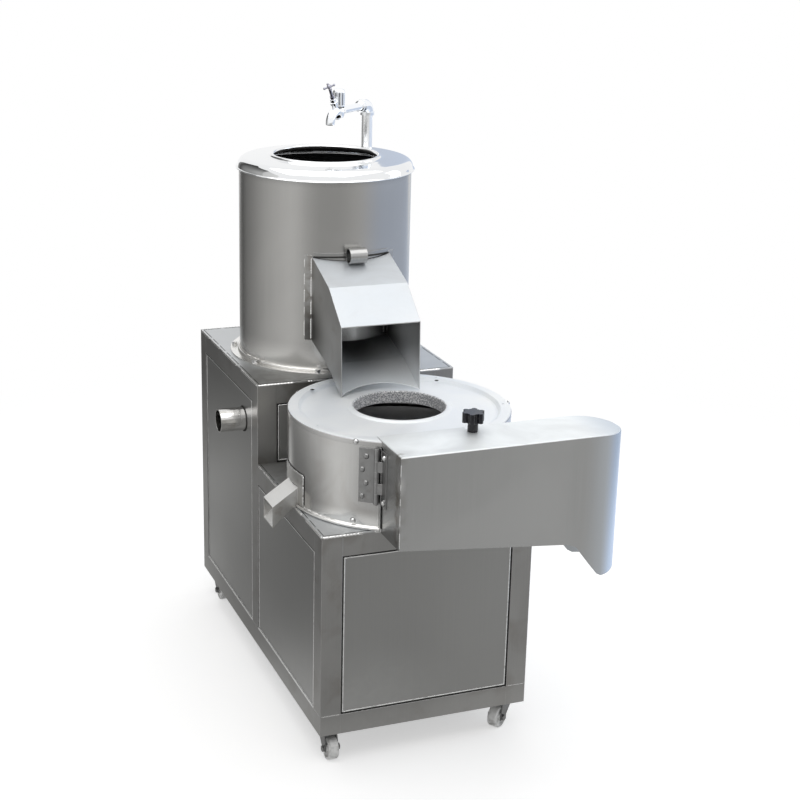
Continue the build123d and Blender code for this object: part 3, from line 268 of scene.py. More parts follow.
def tilt_up(tree):
    """How far a face looks up, from -1 to 1."""
    return lay(tree, "SeparateXYZ", {0: normal_of(tree)}).outputs["Z"]


def noise(tree, at, scale, detail, **more):
    return lay(tree, "TexNoise", {"Vector": at, "Scale": scale, "Detail": detail, **more}).outputs[0]


brushed_lines, taken, given = new_effect(
    "brushed_lines", [("Upright", "Vector", (900, 900, 8)), ("Level", "Vector", (9, 900, 900))], [("Tone", "Float")])
tree = brushed_lines
is_top = number(tree, "GREATER_THAN", number(tree, "ABSOLUTE", tilt_up(tree)), 0.75)
run = lay(tree, "Mix", {0: is_top, 4: taken["Upright"], 5: taken["Level"]}, data_type="VECTOR")
along = vector(tree, "MULTIPLY", position(tree), run.outputs[1])
tree.links.new(noise(tree, along, 1.0, 3.0, Roughness=0.65), given["Tone"])

# Rounded edges, whose mask also paints a pale highlight along each edge.
edge_rounding_and_highlight, taken, given = new_effect(
    "edge_rounding_and_highlight", [("Radius", "Float", 0.0015), ("Gain", "Float", 3.0)], [("Mask", "Float"), ("Normal", "Vector")])
tree = edge_rounding_and_highlight
rounded = lay(tree, "Bevel", {"Radius": taken["Radius"]}, samples=4).outputs[0]
bend = number(tree, "SUBTRACT", 1.0, vector(tree, "DOT_PRODUCT", rounded, normal_of(tree)))
tree.links.new(number(tree, "MULTIPLY", bend, taken["Gain"], clamp=True), given["Mask"])
tree.links.new(rounded, given["Normal"])

shop_marks, taken, given = new_effect(
    "shop_marks", [("Size", "Float", 4.0), ("Low", "Float", 0.35), ("High", "Float", 0.7)], [("Clouds", "Float")])
tree = shop_marks
cloudy = noise(tree, position(tree), taken["Size"], 4.0, Distortion=0.6)
tree.links.new(ranged(tree, cloudy, taken["Low"], taken["High"], soft=True), given["Clouds"])

# Painted light: level faces are painted paler, unevenly, as if lit from above.
painted_top_light, taken, given = new_effect("painted_top_light", [("Amount", "Float", 0.5)], [("Mask", "Float")])
tree = painted_top_light
lying = ranged(tree, tilt_up(tree), 0.35, 0.80, soft=True)
top_unevenness = noise(tree, position(tree), 7.0, 5.0, Distortion=1.2)
top_lit = number(tree, "MULTIPLY", lying, ranged(tree, top_unevenness, 0.30, 0.62, 0.70, 1.0))
tree.links.new(number(tree, "MULTIPLY", top_lit, taken["Amount"], clamp=True), given["Mask"])

local_marks, taken, given = new_effect(
    "local_marks",
    [("Place", "Vector", (0, 0, 0)), ("Across", "Vector", (1, 1, 1)), ("Reach", "Float", 0.03),
     ("Broken", "Float", 1.0)], [("Mask", "Float")])
tree = local_marks
here = position(tree)
apart = vector(tree, "MULTIPLY", vector(tree, "SUBTRACT", here, taken["Place"]), taken["Across"])
fading = ranged(tree, vector(tree, "LENGTH", apart), 0.0, taken["Reach"], 1.0, 0.0, soft=True)
uneven = ranged(tree, noise(tree, here, 42.0, 4.0, Distortion=0.8), 0.38, 0.66)
patchy = lay(tree, "Mix", {0: taken["Broken"], 2: 1.0, 3: uneven}).outputs[0]
tree.links.new(number(tree, "MULTIPLY", fading, patchy, clamp=True), given["Mask"])


def effect(tree, group, output, **feeds):
    """One output of a shared effect."""
    return lay(tree, "Group", feeds, node_tree=group).outputs[output]


def new_skin(name):
    """A new material, with its node tree and its main shader."""
    material = bpy.data.materials.new(name)
    material.use_nodes = True
    return material, material.node_tree, material.node_tree.nodes["Principled BSDF"]


def shaded(colour, share):
    return tuple(min(1.0, c * share) for c in colour)


def blend(tree, share, one, other):
    """A colour between two others, each of them a socket or three numbers."""
    one, other = (c if isinstance(c, bpy.types.NodeSocket) else (*c, 1) for c in (one, other))
    return lay(tree, "Mix", {0: share, 6: one, 7: other}, data_type="RGBA").outputs[2]


def emboss(tree, skin, height, distance, **more):
    """Raises a skin by a height, over its own normal or a given one."""
    bump = lay(tree, "Bump", {"Height": height, "Distance": distance, "Strength": 1.0, **more})
    plug(tree, skin, {"Normal": bump.outputs[0]})


def steel(name, colour, rough, grain=None, upright=(900, 900, 8), level=(9, 900, 900), contrast=0.12, edge=0.45,
          edge_radius=0.0013, clouds=0.12, cloud_size=4.0, relief=0.00004, stain=(0.62, 0.56, 0.50), stained=0.0,
          top_lightening=0.0, top_light_colour=(0.70, 0.74, 0.78), light_patches=(), local=()):
    """Brushed or satin stainless sheet: fine lines, soft clouds and edges painted pale as highlights.

    The lines differ on upright and level faces, unless grain is given for both. Level
    faces and the given light patches are painted paler, duller and less metallic, as
    painted light from above; each local mark (stains, and patches of painted light and
    shade) is a place, the directions it is measured along, its reach, strength, breaks and colour.
    """
    material, tree, skin = new_skin(name)
    metal = 1.0
    if grain:
        upright = level = grain if isinstance(grain, tuple) else (grain, grain, grain)
    lines = effect(tree, brushed_lines, "Tone", Upright=upright, Level=level)
    edges = lay(tree, "Group", {"Radius": edge_radius, "Gain": 3.2}, node_tree=edge_rounding_and_highlight).outputs
    cloudy = effect(tree, shop_marks, "Clouds", Size=cloud_size)
    surface = blend(tree, lines, shaded(colour, 1 - contrast), shaded(colour, 1 + contrast))
    surface = blend(tree, number(tree, "MULTIPLY", cloudy, clouds), surface, shaded(colour, 1.6))
    if stained:
        old = effect(tree, shop_marks, "Clouds", Size=cloud_size * 2.7, Low=0.5, High=0.72)
        amount = number(tree, "MULTIPLY", old, stained)
        surface = blend(tree, amount, surface, tuple(c * s for c, s in zip(colour, stain)))
    gloss = ranged(tree, cloudy, 0.0, 1.0, rough * 0.93, rough * 1.07)
    # Painted light: level faces and the light patches turn pale, dull and less metallic.
    if top_lightening or light_patches:
        painted_light = effect(tree, painted_top_light, "Mask", Amount=top_lightening)
        for place, across, reach, strong in light_patches:
            light_patch = effect(tree, local_marks, "Mask", Place=place, Across=across, Reach=reach, Broken=0.0)
            painted_light = sum_of(tree, painted_light, number(tree, "MULTIPLY", light_patch, strong))
        surface = blend(tree, painted_light, surface, top_light_colour)
        gloss = lay(tree, "Mix", {0: painted_light, 2: gloss, 3: 0.5}).outputs[0]
        metal = ranged(tree, painted_light, 0.0, 1.0, 1.0, 0.35)
    for place, across, reach, strong, broken, mark_colour in local:
        mark = effect(tree, local_marks, "Mask", Place=place, Across=across, Reach=reach, Broken=broken)
        surface = blend(tree, number(tree, "MULTIPLY", mark, strong), surface, mark_colour)
    # Painted highlight: the edges are painted pale.
    edge_highlight = number(tree, "MULTIPLY", edges["Mask"], edge, clamp=True)
    surface = blend(tree, edge_highlight, surface, (0.80, 0.80, 0.80))
    plug(tree, skin, {"Base Color": surface, "Roughness": gloss, "Metallic": metal})
    emboss(tree, skin, lines, relief, Normal=edges["Normal"])
    return material


def finish(names, material):
    """Puts a material on CAD nodes."""
    for name in names.split():
        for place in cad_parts[name].material_slots:
            place.material = material


# Painted light: the rails are painted paler near the floor.
finish("base_frame", steel(
    "tube_steel", (0.29, 0.287, 0.282), 0.34, clouds=0.22, cloud_size=5.0, edge=0.65, edge_radius=0.002, stained=0.35,
    local=(((0, 0, 0.070), (0, 0, 1), 0.060, 0.6, 0.2, (0.40, 0.397, 0.39)),
           ((-0.28, 0.0275, 0.665), (1, 1, 0.8), 0.050, 0.6, 0.2, (0.42, 0.41, 0.39)))))
finish("motor_plates", steel("plate_steel", (0.26, 0.26, 0.26), 0.45, grain=300, stained=0.4))


def add_mesh(name, shape, material, body="machine", smooth=True):
    """Turns a bmesh into a piece that rides on a body."""
    shape.normal_update()
    mesh = mesh_from(name, shape)
    for face in mesh.polygons:
        face.use_smooth = smooth
    mesh.set_sharp_from_angle(angle=math.radians(40))
    mesh.materials.append(material)
    made = put(name, mesh)
    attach(made, body)
    return made


def join(shape, rings, first_cap=True, last_cap=True):
    """Faces between rings of corners, one after the other, and over the two ends."""
    for here, there in zip(rings, rings[1:]):
        for k in range(len(here)):
            after = (k + 1) % len(here)
            shape.faces.new((here[k], here[after], there[after], there[k]))
    if first_cap:
        shape.faces.new(reversed(rings[0]))
    if last_cap:
        shape.faces.new(rings[-1])


def bead_run(shape, points, out, wide, high, chance):
    """A run of welding bead, as overlapping ripples along a path, on a face whose outward side is out."""
    points = [Vector(p) for p in points]
    out = Vector(out).normalized()
    pitch, sides = wide * 0.45, 8
    spine = []
    for a, b in zip(points, points[1:]):
        steps = max(2, int((b - a).length / pitch))
        spine += [a.lerp(b, i / steps) for i in range(steps)]
    spine.append(points[-1])
    rings = []
    for i, centre in enumerate(spine):
        ahead = (spine[min(i + 1, len(spine) - 1)] - spine[max(i - 1, 0)]).normalized()
        across = ahead.cross(out).normalized()
        up = across.cross(ahead).normalized()
        grow = (0.80 + 0.20 * math.sin(i * 2.1)) * chance.uniform(0.86, 1.12)
        if i in (0, len(spine) - 1):
            grow *= 0.4
        rings.append([
            shape.verts.new(centre + across * (math.cos(a) * wide / 2 * grow) + up * (math.sin(a) * high * grow))
            for a in (math.tau * k / sides for k in range(sides))
        ])
    join(shape, rings)


def weld(name, runs, wide, high, seed, body="machine"):
    """Several runs of bead as one piece; each run is (points, outward direction)."""
    chance = random.Random(seed)
    shape = bmesh.new()
    for points, out in runs:
        bead_run(shape, points, out, wide, high, chance)
    bmesh.ops.recalc_face_normals(shape, faces=shape.faces)
    return add_mesh(name, shape, weld_metal, body)


weld_metal = steel("weld_metal", (0.86, 0.85, 0.83), 0.22, grain=600, contrast=0.3, edge=0.0, clouds=0.3,
                   cloud_size=60.0, relief=0.0002)
cab_left, cab_right, cab_front, cab_rear, step_back = -0.28525, 0.18775, -0.419, 0.5125, 0.0275
tube_size, foot_z, low_top, high_top = 0.045, 0.0665, 0.518, 0.705
tube_top = foot_z + tube_size
near_end, far_end = 0.003, tube_size - 0.002
joints = []
for x, inner in ((cab_left, 1), (cab_right, -1)):
    for y, face in ((cab_front, -1), (cab_rear, 1)):
        a, b = x + inner * near_end, x + inner * far_end
        joints.append((((a, y, tube_top), (b, y, tube_top)), (0, face, 0)))
    for y in (cab_front, cab_rear - tube_size, step_back):
        joints.append((((x, y + near_end, tube_top), (x, y + far_end, tube_top)), (-inner, 0, 0)))
weld("frame_joint_welds", joints, wide=0.0018, high=0.0004, seed=4)

# -------- decks and panels
# Folded stainless sheet, brushed and set into the frame with a shadow gap.
# The decks are tack welded to the tubes, so beads and open seam alternate.
# Painted light: the front panel is painted paler low down on its left. The panel sheet is a darker copy of the decks'
# sheet, painted shade for the upright faces.
finish("front_panel step_panel side_panels rear_panel", steel(
    "panel_steel", (0.30, 0.30, 0.296), 0.32, upright=(700, 700, 5), contrast=0.05, clouds=0.12, cloud_size=2.2,
    edge=0.95, edge_radius=0.0022,
    local=(((-0.21, -0.419, 0.12), (0.6, 0, 1), 0.17, 0.75, 0.2, (0.42, 0.42, 0.415)),)))
# Painted light: the decks' level faces are painted pale. Painted reflection: a dark patch on the high deck in front of
# the drum's left side. Painted shade: a dark patch on the low deck in the corner by the slicer and the step.
finish("low_deck high_deck", steel(
    "deck_steel", (0.46, 0.465, 0.47), 0.31, level=(8, 700, 700), contrast=0.07, clouds=0.25, cloud_size=5.0,
    edge=0.9, edge_radius=0.0016, stained=0.3, top_lightening=0.52, top_light_colour=(0.66, 0.69, 0.71),
    local=(((-0.20, 0.065, 0.705), (0.6, 1, 0), 0.21, 1.0, 0.2, (0.19, 0.188, 0.175)),
           ((-0.25, -0.05, 0.518), (1, 0.6, 0), 0.14, 0.7, 0.3, (0.20, 0.195, 0.185)))))

chance = random.Random(11)


def broken(start, limit, last, run, gap):
    """Stretches of an interrupted line, by the shortest and longest run and gap, until one starts past the limit."""
    while start < limit:
        stretch = chance.uniform(*run)
        yield start, min(start + stretch, last)
        start += stretch + chance.uniform(*gap)


def deck_edges(face_in, end_in, drop):
    """The decks' open edges, as start, end and outward side, set in from the faces and the ends, and lowered."""
    for z, front, rear in (
        (low_top - drop, cab_front, step_back - 0.004), (high_top - drop, step_back, cab_rear - end_in),
    ):
        yield (cab_left + end_in, front + face_in, z), (cab_right - end_in, front + face_in, z), (0, -1, 0.6)
        for x, lean in ((cab_left + face_in, -1), (cab_right - face_in, 1)):
            yield (x, front + end_in, z), (x, rear, z), (lean, 0, 0.6)
    yield (cab_left + end_in, cab_rear - face_in, z), (cab_right - end_in, cab_rear - face_in, z), (0, 1, 0.6)


def stretches(start, end, slack, run, gap):
    """Start and end of each unbroken stretch between two points."""
    start, end = Vector(start), Vector(end)
    whole = (end - start).length
    for low, high in broken(0.0, whole - slack, whole, run, gap):
        yield start.lerp(end, low / whole), start.lerp(end, high / whole)


tacks = [
    (stretch, out) for start, end, out in deck_edges(0, 0.002, 0.0015)
    for stretch in stretches(start, end, 0.02, (0.05, 0.13), (0.012, 0.035))
]
weld("deck_edge_welds", tacks, wide=0.0056, high=0.0015, seed=5)


def strip(shape, start, end, out, wide, high, turns=()):
    """A thin strip on a face whose outward side is out, box-shaped or with its top rounded through the turns."""
    start, end, out = Vector(start), Vector(end), Vector(out).normalized()
    across = (end - start).cross(out).normalized() * wide / 2
    outline = [(math.cos(a), math.sin(a)) for a in map(math.radians, turns)] or [(1, 0), (1, 1), (-1, 1), (-1, 0)]
    join(shape, [[shape.verts.new(p + across * u + out * high * v) for u, v in outline] for p in (start, end)])


# A near-black skin for painted shade, in gaps, grooves and holes and under heads.
painted_shade, tree, skin = new_skin("painted_shade")
shade_variation = effect(tree, shop_marks, "Clouds", Size=60.0)
shade_tone = blend(tree, shade_variation, (0.010, 0.010, 0.010), (0.032, 0.030, 0.027))
plug(tree, skin, {"Base Color": shade_tone, "Roughness": 0.85})


def add_painted_shade(name, shape):
    """A dark strip that paints the shade in a gap or a groove."""
    add_mesh(name, shape, painted_shade, smooth=False)


# The decks' edges lie on the tubes with an open seam, broken where it is tacked.
# A dark strip in the open seam is painted shade.
seam_in = 0.0062
seams = bmesh.new()
for start, end, _ in deck_edges(seam_in, seam_in, 0):
    for here, there in stretches(start, end, 0.01, (0.03, 0.10), (0.006, 0.016)):
        strip(seams, here, there, (0, 0, 1), 0.0016, 0.0002)
add_painted_shade("deck_seam_shade", seams)

# A dark strip in the shadow gap round each panel is painted shade, and a rounded strip
# beside it, on the panel's edge, is painted bright as a highlight.
gap_wide, highlight_wide, panel_in = 0.0034, 0.0031, 0.0015
middle_x, across_wide = (cab_left + cab_right) / 2, 0.383
low_middle, low_tall, high_middle, high_tall = 0.29125, 0.3595, 0.38475, 0.5465
upright_faces = [
    ((middle_x, cab_front + panel_in, low_middle), (1, 0, 0), (0, -1, 0), across_wide, low_tall),
    ((middle_x, step_back + panel_in, 0.588), (1, 0, 0), (0, -1, 0), across_wide, 0.140),
    ((middle_x, cab_rear - panel_in, high_middle), (1, 0, 0), (0, 1, 0), across_wide, high_tall),
] + [
    ((x - lean * panel_in, y, middle_z), (0, 1, 0), (lean, 0, 0), long, tall)
    for x, lean in ((cab_left, -1), (cab_right, 1))
    for y, middle_z, long, tall in ((-0.17325, low_middle, 0.4015, low_tall), (0.270, high_middle, 0.395, high_tall))
]
gap_shade_lines, highlight_lines = bmesh.new(), bmesh.new()
for centre, along, out, width, height in upright_faces:
    centre, along, out = Vector(centre), Vector(along), Vector(out)
    for shape, inset, wide, high, lift, turns in (
        (gap_shade_lines, gap_wide / 2, gap_wide, 0.0010, -0.0008, ()),
        (highlight_lines, gap_wide + highlight_wide / 2, highlight_wide, 0.0011, -0.0001, range(0, 181, 30)),
    ):
        half_w, half_h = along * (width / 2 - inset), Vector((0, 0, height / 2 - inset))
        base = centre + out * lift
        corners = [base - half_w - half_h, base + half_w - half_h, base + half_w + half_h, base - half_w + half_h]
        for k in range(4):
            strip(shape, corners[k], corners[(k + 1) % 4], out, wide, high, turns)
add_painted_shade("panel_gap_shade", gap_shade_lines)
# Painted highlight: the strips along the panels' edges are near white.
edge_highlight_steel = steel("edge_highlight_steel", (0.90, 0.90, 0.89), 0.24, grain=90, contrast=0.25, edge=0.0, clouds=0.3,
                   cloud_size=22.0, stained=0.5, stain=(0.30, 0.30, 0.30))
add_mesh("panel_edge_highlights", highlight_lines, edge_highlight_steel)

# Below each side panel, a pale strip on the tube's upper edge is a painted highlight.
tube_edge_highlight = steel("tube_edge_highlight", (1.0, 1.0, 0.99), 0.55, grain=90, contrast=0.1, edge=0.0)
tube_highlight_lines, edge_z, edge_in = bmesh.new(), tube_top + 0.0012, 0.0010
for x, lean in ((cab_left, -1), (cab_right, 1)):
    for first_y, last_y in ((-0.374, 0.0275), (0.0725, 0.4675)):
        inside = x - lean * edge_in
        strip(tube_highlight_lines, (inside, first_y, edge_z), (inside, last_y, edge_z), (lean, 0, 0), 0.0036, 0.0013)
add_mesh("tube_edge_highlights", tube_highlight_lines, tube_edge_highlight, smooth=False)

# -------- casters
# Zinc-plated pressed forks under bolted plates, with white nylon wheels that
# have picked up floor dirt on the tread.
finish("caster_plates caster_fork_fl caster_fork_fr caster_fork_rl caster_fork_rr", steel(
    "zinc_plate", (0.20, 0.20, 0.20), 0.36, grain=260, contrast=0.25, edge=0.4, edge_radius=0.0006, clouds=0.4,
    cloud_size=40.0, stained=0.4))


def moulded(name, colour, rough, speckle=0.05, dirt=(0.25, 0.23, 0.20), dirty=0.0, coat=0.0, bump=0.0001, size=300.0):
    """A moulded plastic, rubber or cast skin: fine stipple, a little dirt."""
    material, tree, skin = new_skin(name)
    stipple = noise(tree, position(tree), size, 3.0)
    cloudy = effect(tree, shop_marks, "Clouds", Size=45.0, Low=0.42, High=0.72)
    surface = blend(tree, stipple, shaded(colour, 1 - speckle), shaded(colour, 1 + speckle))
    grimy = blend(tree, number(tree, "MULTIPLY", cloudy, dirty), surface, dirt)
    gloss = ranged(tree, cloudy, 0.0, 1.0, rough * 0.9, min(1, rough * 1.2))
    plug(tree, skin, {"Base Color": grimy, "Roughness": gloss, "Coat Weight": coat, "Coat Roughness": 0.08})
    emboss(tree, skin, stipple, bump, Normal=effect(tree, edge_rounding_and_highlight, "Normal", Radius=0.0008))
    return material


finish("caster_wheel_fl caster_wheel_fr caster_wheel_rl caster_wheel_rr", moulded(
    "white_nylon", (0.97, 0.97, 0.95), 0.42, dirty=0.5, dirt=(0.16, 0.155, 0.14)))

# -------- peeling drum
# Rolled stainless shell, satin finished up and down, with a foot flange, a
# welded rod round the foot, hex bolts and a spun top ring polished to a mirror.
# Painted light: the drum's foot, its flange and rod, is painted much paler near the deck. Painted shade: a darker band
# just under the top ring.
drum_steel = steel("drum_steel", (0.44, 0.435, 0.425), 0.25, upright=(500, 500, 4), contrast=0.05, clouds=0.16,
                   cloud_size=2.4, edge=0.7, edge_radius=0.0012,
                   local=(((0, 0, 0.706), (0, 0, 1), 0.068, 1.0, 0.0, (0.82, 0.81, 0.79)),
                          ((0, 0, 1.150), (0, 0, 1), 0.025, 0.5, 0.0, (0.22, 0.22, 0.22))))
finish("peeler_drum", drum_steel)
bolt_steel = steel("bolt_steel", (0.70, 0.70, 0.70), 0.20, grain=500, contrast=0.15, edge=0.6, edge_radius=0.0006,
                   clouds=0.2, cloud_size=80.0)
finish("flange_bolts slicer_screws", bolt_steel)
drum_x, drum_y, drum_r = -0.04675, 0.2695, 0.200

# Inside, above the grit, the wall is painted near black as painted shade.
tree = drum_steel.node_tree
skin = tree.nodes["Principled BSDF"]
from_axis = vector(tree, "SUBTRACT", position(tree), (drum_x, drum_y, 0))
outward = vector(tree, "DOT_PRODUCT", vector(tree, "MULTIPLY", from_axis, (1, 1, 0)), normal_of(tree))
inner_wall = number(tree, "LESS_THAN", outward, -0.12)
unshaded = skin.inputs["Base Color"].links[0].from_socket
plug(tree, skin, {"Base Color": blend(tree, inner_wall, unshaded, (0.012, 0.012, 0.012))})


def bend_of(middle_r, middle_z, radius, first, last, count):
    """Points round a bend in a profile, by angles from level, outwards first."""
    turns = [math.radians(first + (last - first) * k / (count - 1)) for k in range(count)]
    return [(middle_r + radius * math.cos(t), middle_z + radius * math.sin(t)) for t in turns]


# The top ring is spun from thin sheet: a turned-out rim over the wall, a round
# shoulder, a nearly flat crown and a rolled lip round the feed opening. Its
# underside and the inside of its lip are painted near black, as painted shade.
mirror = steel("mirror_steel", (0.84, 0.85, 0.86), 0.07, grain=60, contrast=0.015, edge=0.0, clouds=0.04,
               relief=0.000002)
ring_foot, ring_sides = 1.141, 180
shoulder_r, shoulder_z = 0.184, ring_foot + 0.0052
rim = [(0.2010, 0), (0.2066, 0), (0.2076, 0.0012), (0.2066, 0.0026), (0.2044, 0.0034)]
crown = [(0.176, 0.0248), (0.158, 0.0262), (0.140, 0.0268), (0.1325, 0.0270)]
underside = [(0.132, 0.0252), (0.176, 0.0232)]
rim, crown, underside = ([(r, ring_foot + z) for r, z in part] for part in (rim, crown, underside))
profile = (
    rim + bend_of(shoulder_r, shoulder_z, 0.0195, 6, 84, 12) + crown
    + bend_of(0.1242, ring_foot + 0.0272, 0.0058, 10, 262, 16) + underside
    + bend_of(shoulder_r, shoulder_z, 0.0180, 84, 6, 8) + [(0.2010, ring_foot + 0.0025)]
)
ring_skin = bmesh.new()
turned_round = [
    [ring_skin.verts.new((drum_x + r * math.cos(t), drum_y + r * math.sin(t), z)) for r, z in profile]
    for t in (math.tau * k / ring_sides for k in range(ring_sides))
]
join(ring_skin, turned_round + turned_round[:1], False, False)
bmesh.ops.recalc_face_normals(ring_skin, faces=ring_skin.faces)
top_ring = add_mesh("top_ring", ring_skin, mirror)
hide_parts("drum_ring")
# Painted shade: the underside and the inside of the lip take the near-black skin.
top_ring.data.materials.append(painted_shade)
for face in top_ring.data.polygons:
    off = face.center - Vector((drum_x, drum_y, face.center.z))
    if off.length < drum_r and (face.normal.z < -0.2 or (off.dot(face.normal) < 0 and face.normal.z < 0.35)):
        face.material_index = 1

# -------- inside the drum
# Abrasive grit bonded to the wall and to the wavy disc, over a stainless pan
# that drains through a stub in the cabinet's left side.
grit, tree, skin = new_skin("bonded_grit")
grains = lay(tree, "TexVoronoi", {"Vector": position(tree), "Scale": 520.0}).outputs["Distance"]
coarse = noise(tree, position(tree), 160.0, 5.0)
grit_colour = (0.012, 0.012, 0.013)
surface = blend(tree, grains, shaded(grit_colour, 0.55), shaded(grit_colour, 1.7))
sparkle = ranged(tree, coarse, 0.62, 0.70, 0.0, 0.05)
plug(tree, skin, {"Base Color": blend(tree, sparkle, surface, (0.6, 0.6, 0.62)), "Roughness": 0.8})
emboss(tree, skin, number(tree, "ADD", grains, coarse), 0.0006)
finish("abrasive_liner abrasive_disc", grit)
finish("drum_pan", steel("inner_steel", (0.30, 0.30, 0.30), 0.36, grain=300, contrast=0.15, stained=0.35))
finish("drain_pipe", steel(
    "drain_steel", (0.66, 0.65, 0.63), 0.15, grain=(6, 400, 400), contrast=0.1, clouds=0.35, cloud_size=25.0,
    edge=0.9, edge_radius=0.0009, stained=0.25))


def bearing_out(bearing):
    """The level direction at a bearing: 0 is the machine's right, -90 its front."""
    a = math.radians(bearing)
    return Vector((math.cos(a), math.sin(a), 0))


def band(shape, points, wide, high, out=None, axis=(0, 0)):
    """Strips from point to point that all face out, or else away from an upright axis."""
    for here, there in zip(points, points[1:]):
        middle = (here + there) / 2
        strip(shape, here, there, out or (middle.x - axis[0], middle.y - axis[1], 0), wide, high)


# A dark ring round the drain stub, in the gap at the panel, is painted shade.
drain_gap, drain_y, drain_z, gap_r = bmesh.new(), 0.145, 0.590, 0.0286
band(drain_gap, [
    Vector((cab_left + 0.0012, drain_y + gap_r * math.cos(t), drain_z + gap_r * math.sin(t)))
    for t in (math.tau * k / 48 for k in range(49))
], 0.0030, 0.0006, out=(-1, 0, 0))
add_painted_shade("drain_hole_gap", drain_gap)

# -------- shafts and bearings
# Turned shafts that run in flanged cast-iron housings, each on two ground ball
# bearings.
finish("peeler_shaft slicer_shaft shaft_bearings", steel(
    "turned_steel", (0.42, 0.42, 0.42), 0.22, upright=(3, 3, 1500), level=(500, 500, 3), contrast=0.15))
finish("peeler_bearing_housing slicer_bearing_housing", moulded(
    "cast_iron", (0.085, 0.09, 0.10), 0.55, speckle=0.3, dirty=0.35, dirt=(0.12, 0.08, 0.06), bump=0.0004, size=220.0))

# -------- pulleys and belts
# Turned cast-iron V pulleys with oiled faces, a large one on each shaft and a
# small one on each motor, and wrapped rubber V belts.
finish("peeler_pulley slicer_pulley peeler_motor_pulley slicer_motor_pulley", steel(
    "pulley_iron", (0.24, 0.24, 0.25), 0.38, upright=(3, 3, 900), level=(220, 220, 3), contrast=0.25, clouds=0.3,
    cloud_size=20.0, stained=0.5))
finish("drive_belts", moulded(
    "belt_rubber", (0.020, 0.020, 0.021), 0.62, speckle=0.4, dirty=0.35, dirt=(0.07, 0.065, 0.06), size=500.0))

# -------- motors
# Finned aluminium cases with hammered blue-grey paint and a film of dust, one
# for the peeling disc and one for the cutter.
finish("peeler_motor slicer_motor", moulded(
    "motor_paint", (0.075, 0.125, 0.175), 0.42, speckle=0.12, dirty=0.35, dirt=(0.22, 0.21, 0.19), bump=0.0002,
    size=180.0, coat=0.2))

# -------- chute and gate
# Folded sheet seam-welded to the drum through two lugs, with heat-stained side
# plates; the gate is a curved plate that slides up by a rolled handle.
heat_stain = (0.17, 0.14, 0.11)
# Besides the heat stains at the lugs: painted light, with pale level faces and pale patches in the mouth, and painted
# shade, with near-black patches where the chute meets the drum.
finish("discharge_chute", steel(
    "chute_steel", (0.42, 0.42, 0.415), 0.38, upright=(420, 420, 5), level=(420, 7, 420), contrast=0.06,
    clouds=0.22, cloud_size=7.0, edge=0.95, edge_radius=0.0014, stained=0.3, top_lightening=0.85,
    light_patches=(((0.045, -0.045, 0.735), (0.5, 1, 0.8), 0.15, 0.8), ((-0.03, -0.06, 0.735), (0.6, 1, 1), 0.085, 0.5)),
    local=(((-0.14, 0.092, 0), (1, 1, 0), 0.032, 0.6, 1.0, heat_stain),
           ((0.046, 0.092, 0), (1, 1, 0), 0.032, 0.6, 1.0, heat_stain),
           ((-0.0467, 0.085, 0.80), (0.4, 1, 1), 0.115, 1.0, 0.0, (0.02, 0.02, 0.02)),
           ((-0.0467, 0.035, 0.790), (1.2, 1, 1), 0.14, 1.0, 0.0, (0.03, 0.03, 0.03)),
           ((0.045, -0.075, 0.740), (1, 0.8, 0.8), 0.14, 0.8, 0.0, (0.95, 0.95, 0.95)),
           ((-0.02, -0.090, 0.710), (0.6, 1, 1), 0.080, 0.9, 0.0, (0.92, 0.97, 1.0)))))
finish("chute_gate", steel(
    "gate_steel", (0.40, 0.40, 0.395), 0.25, upright=(420, 420, 6), contrast=0.08, clouds=0.2, edge=0.9,
    edge_radius=0.0009))


def round_drum(angle, z, out=0.0):
    """A point on the drum's wall, by the angle from straight ahead, to the right."""
    return Vector((drum_x, drum_y, z)) + bearing_out(angle - 90) * (drum_r + out)


lug_angle, plate_y, slot_z = 31.8, 0.0905, 0.9722
lug_welds = []
for angle in (-lug_angle, lug_angle):
    for low, high in broken(0.790, 0.965, 0.972, (0.018, 0.042), (0.004, 0.014)):
        lug_welds.append(((round_drum(angle, low), round_drum(angle, high)), bearing_out(angle - 90)))
for plate_x, lean in ((-0.1396, -1), (0.0461, 1)):
    for low, high in broken(0.784, 0.962, 0.970, (0.02, 0.05), (0.003, 0.010)):
        lug_welds.append((((plate_x, plate_y, low), (plate_x, plate_y, high)), (lean, -1, 0)))
weld("chute_lug_welds", lug_welds, wide=0.0046, high=0.0018, seed=8)

# A dark strip in the slot that the gate rises through is painted shade.
slot_shade = bmesh.new()
band(slot_shade, [round_drum(angle, slot_z, 0.0046) for angle in range(-26, 27, 2)], 0.0032, 0.0022, out=(0, 0, 1))
add_painted_shade("gate_slot_shade", slot_shade)

# -------- water pipe and tap
# Three-quarter inch chromed pipe clipped to the drum, a malleable elbow and a
# bib tap with a ribbed bonnet and a small cross handle.
chrome = steel("chrome", (0.93, 0.95, 0.98), 0.10, grain=300, contrast=0.03, edge=0.2, edge_radius=0.0007,
               clouds=0.1, cloud_size=40.0, relief=0.000008)
finish("pipe_elbow", chrome)
finish("riser_pipe", steel(
    "pipe_chrome", (0.96, 0.98, 1.0), 0.25, upright=(400, 400, 20), contrast=0.04, edge=0.2, edge_radius=0.0007,
    clouds=0.1, cloud_size=30.0))
# The handle's chrome is a darker copy of the chrome, painted shade.
finish("tap_handle", steel(
    "shaded_chrome", (0.30, 0.30, 0.35), 0.16, grain=300, contrast=0.1, edge=0.5, edge_radius=0.0006, clouds=0.4,
    cloud_size=60.0))
finish("riser_clips", bolt_steel)


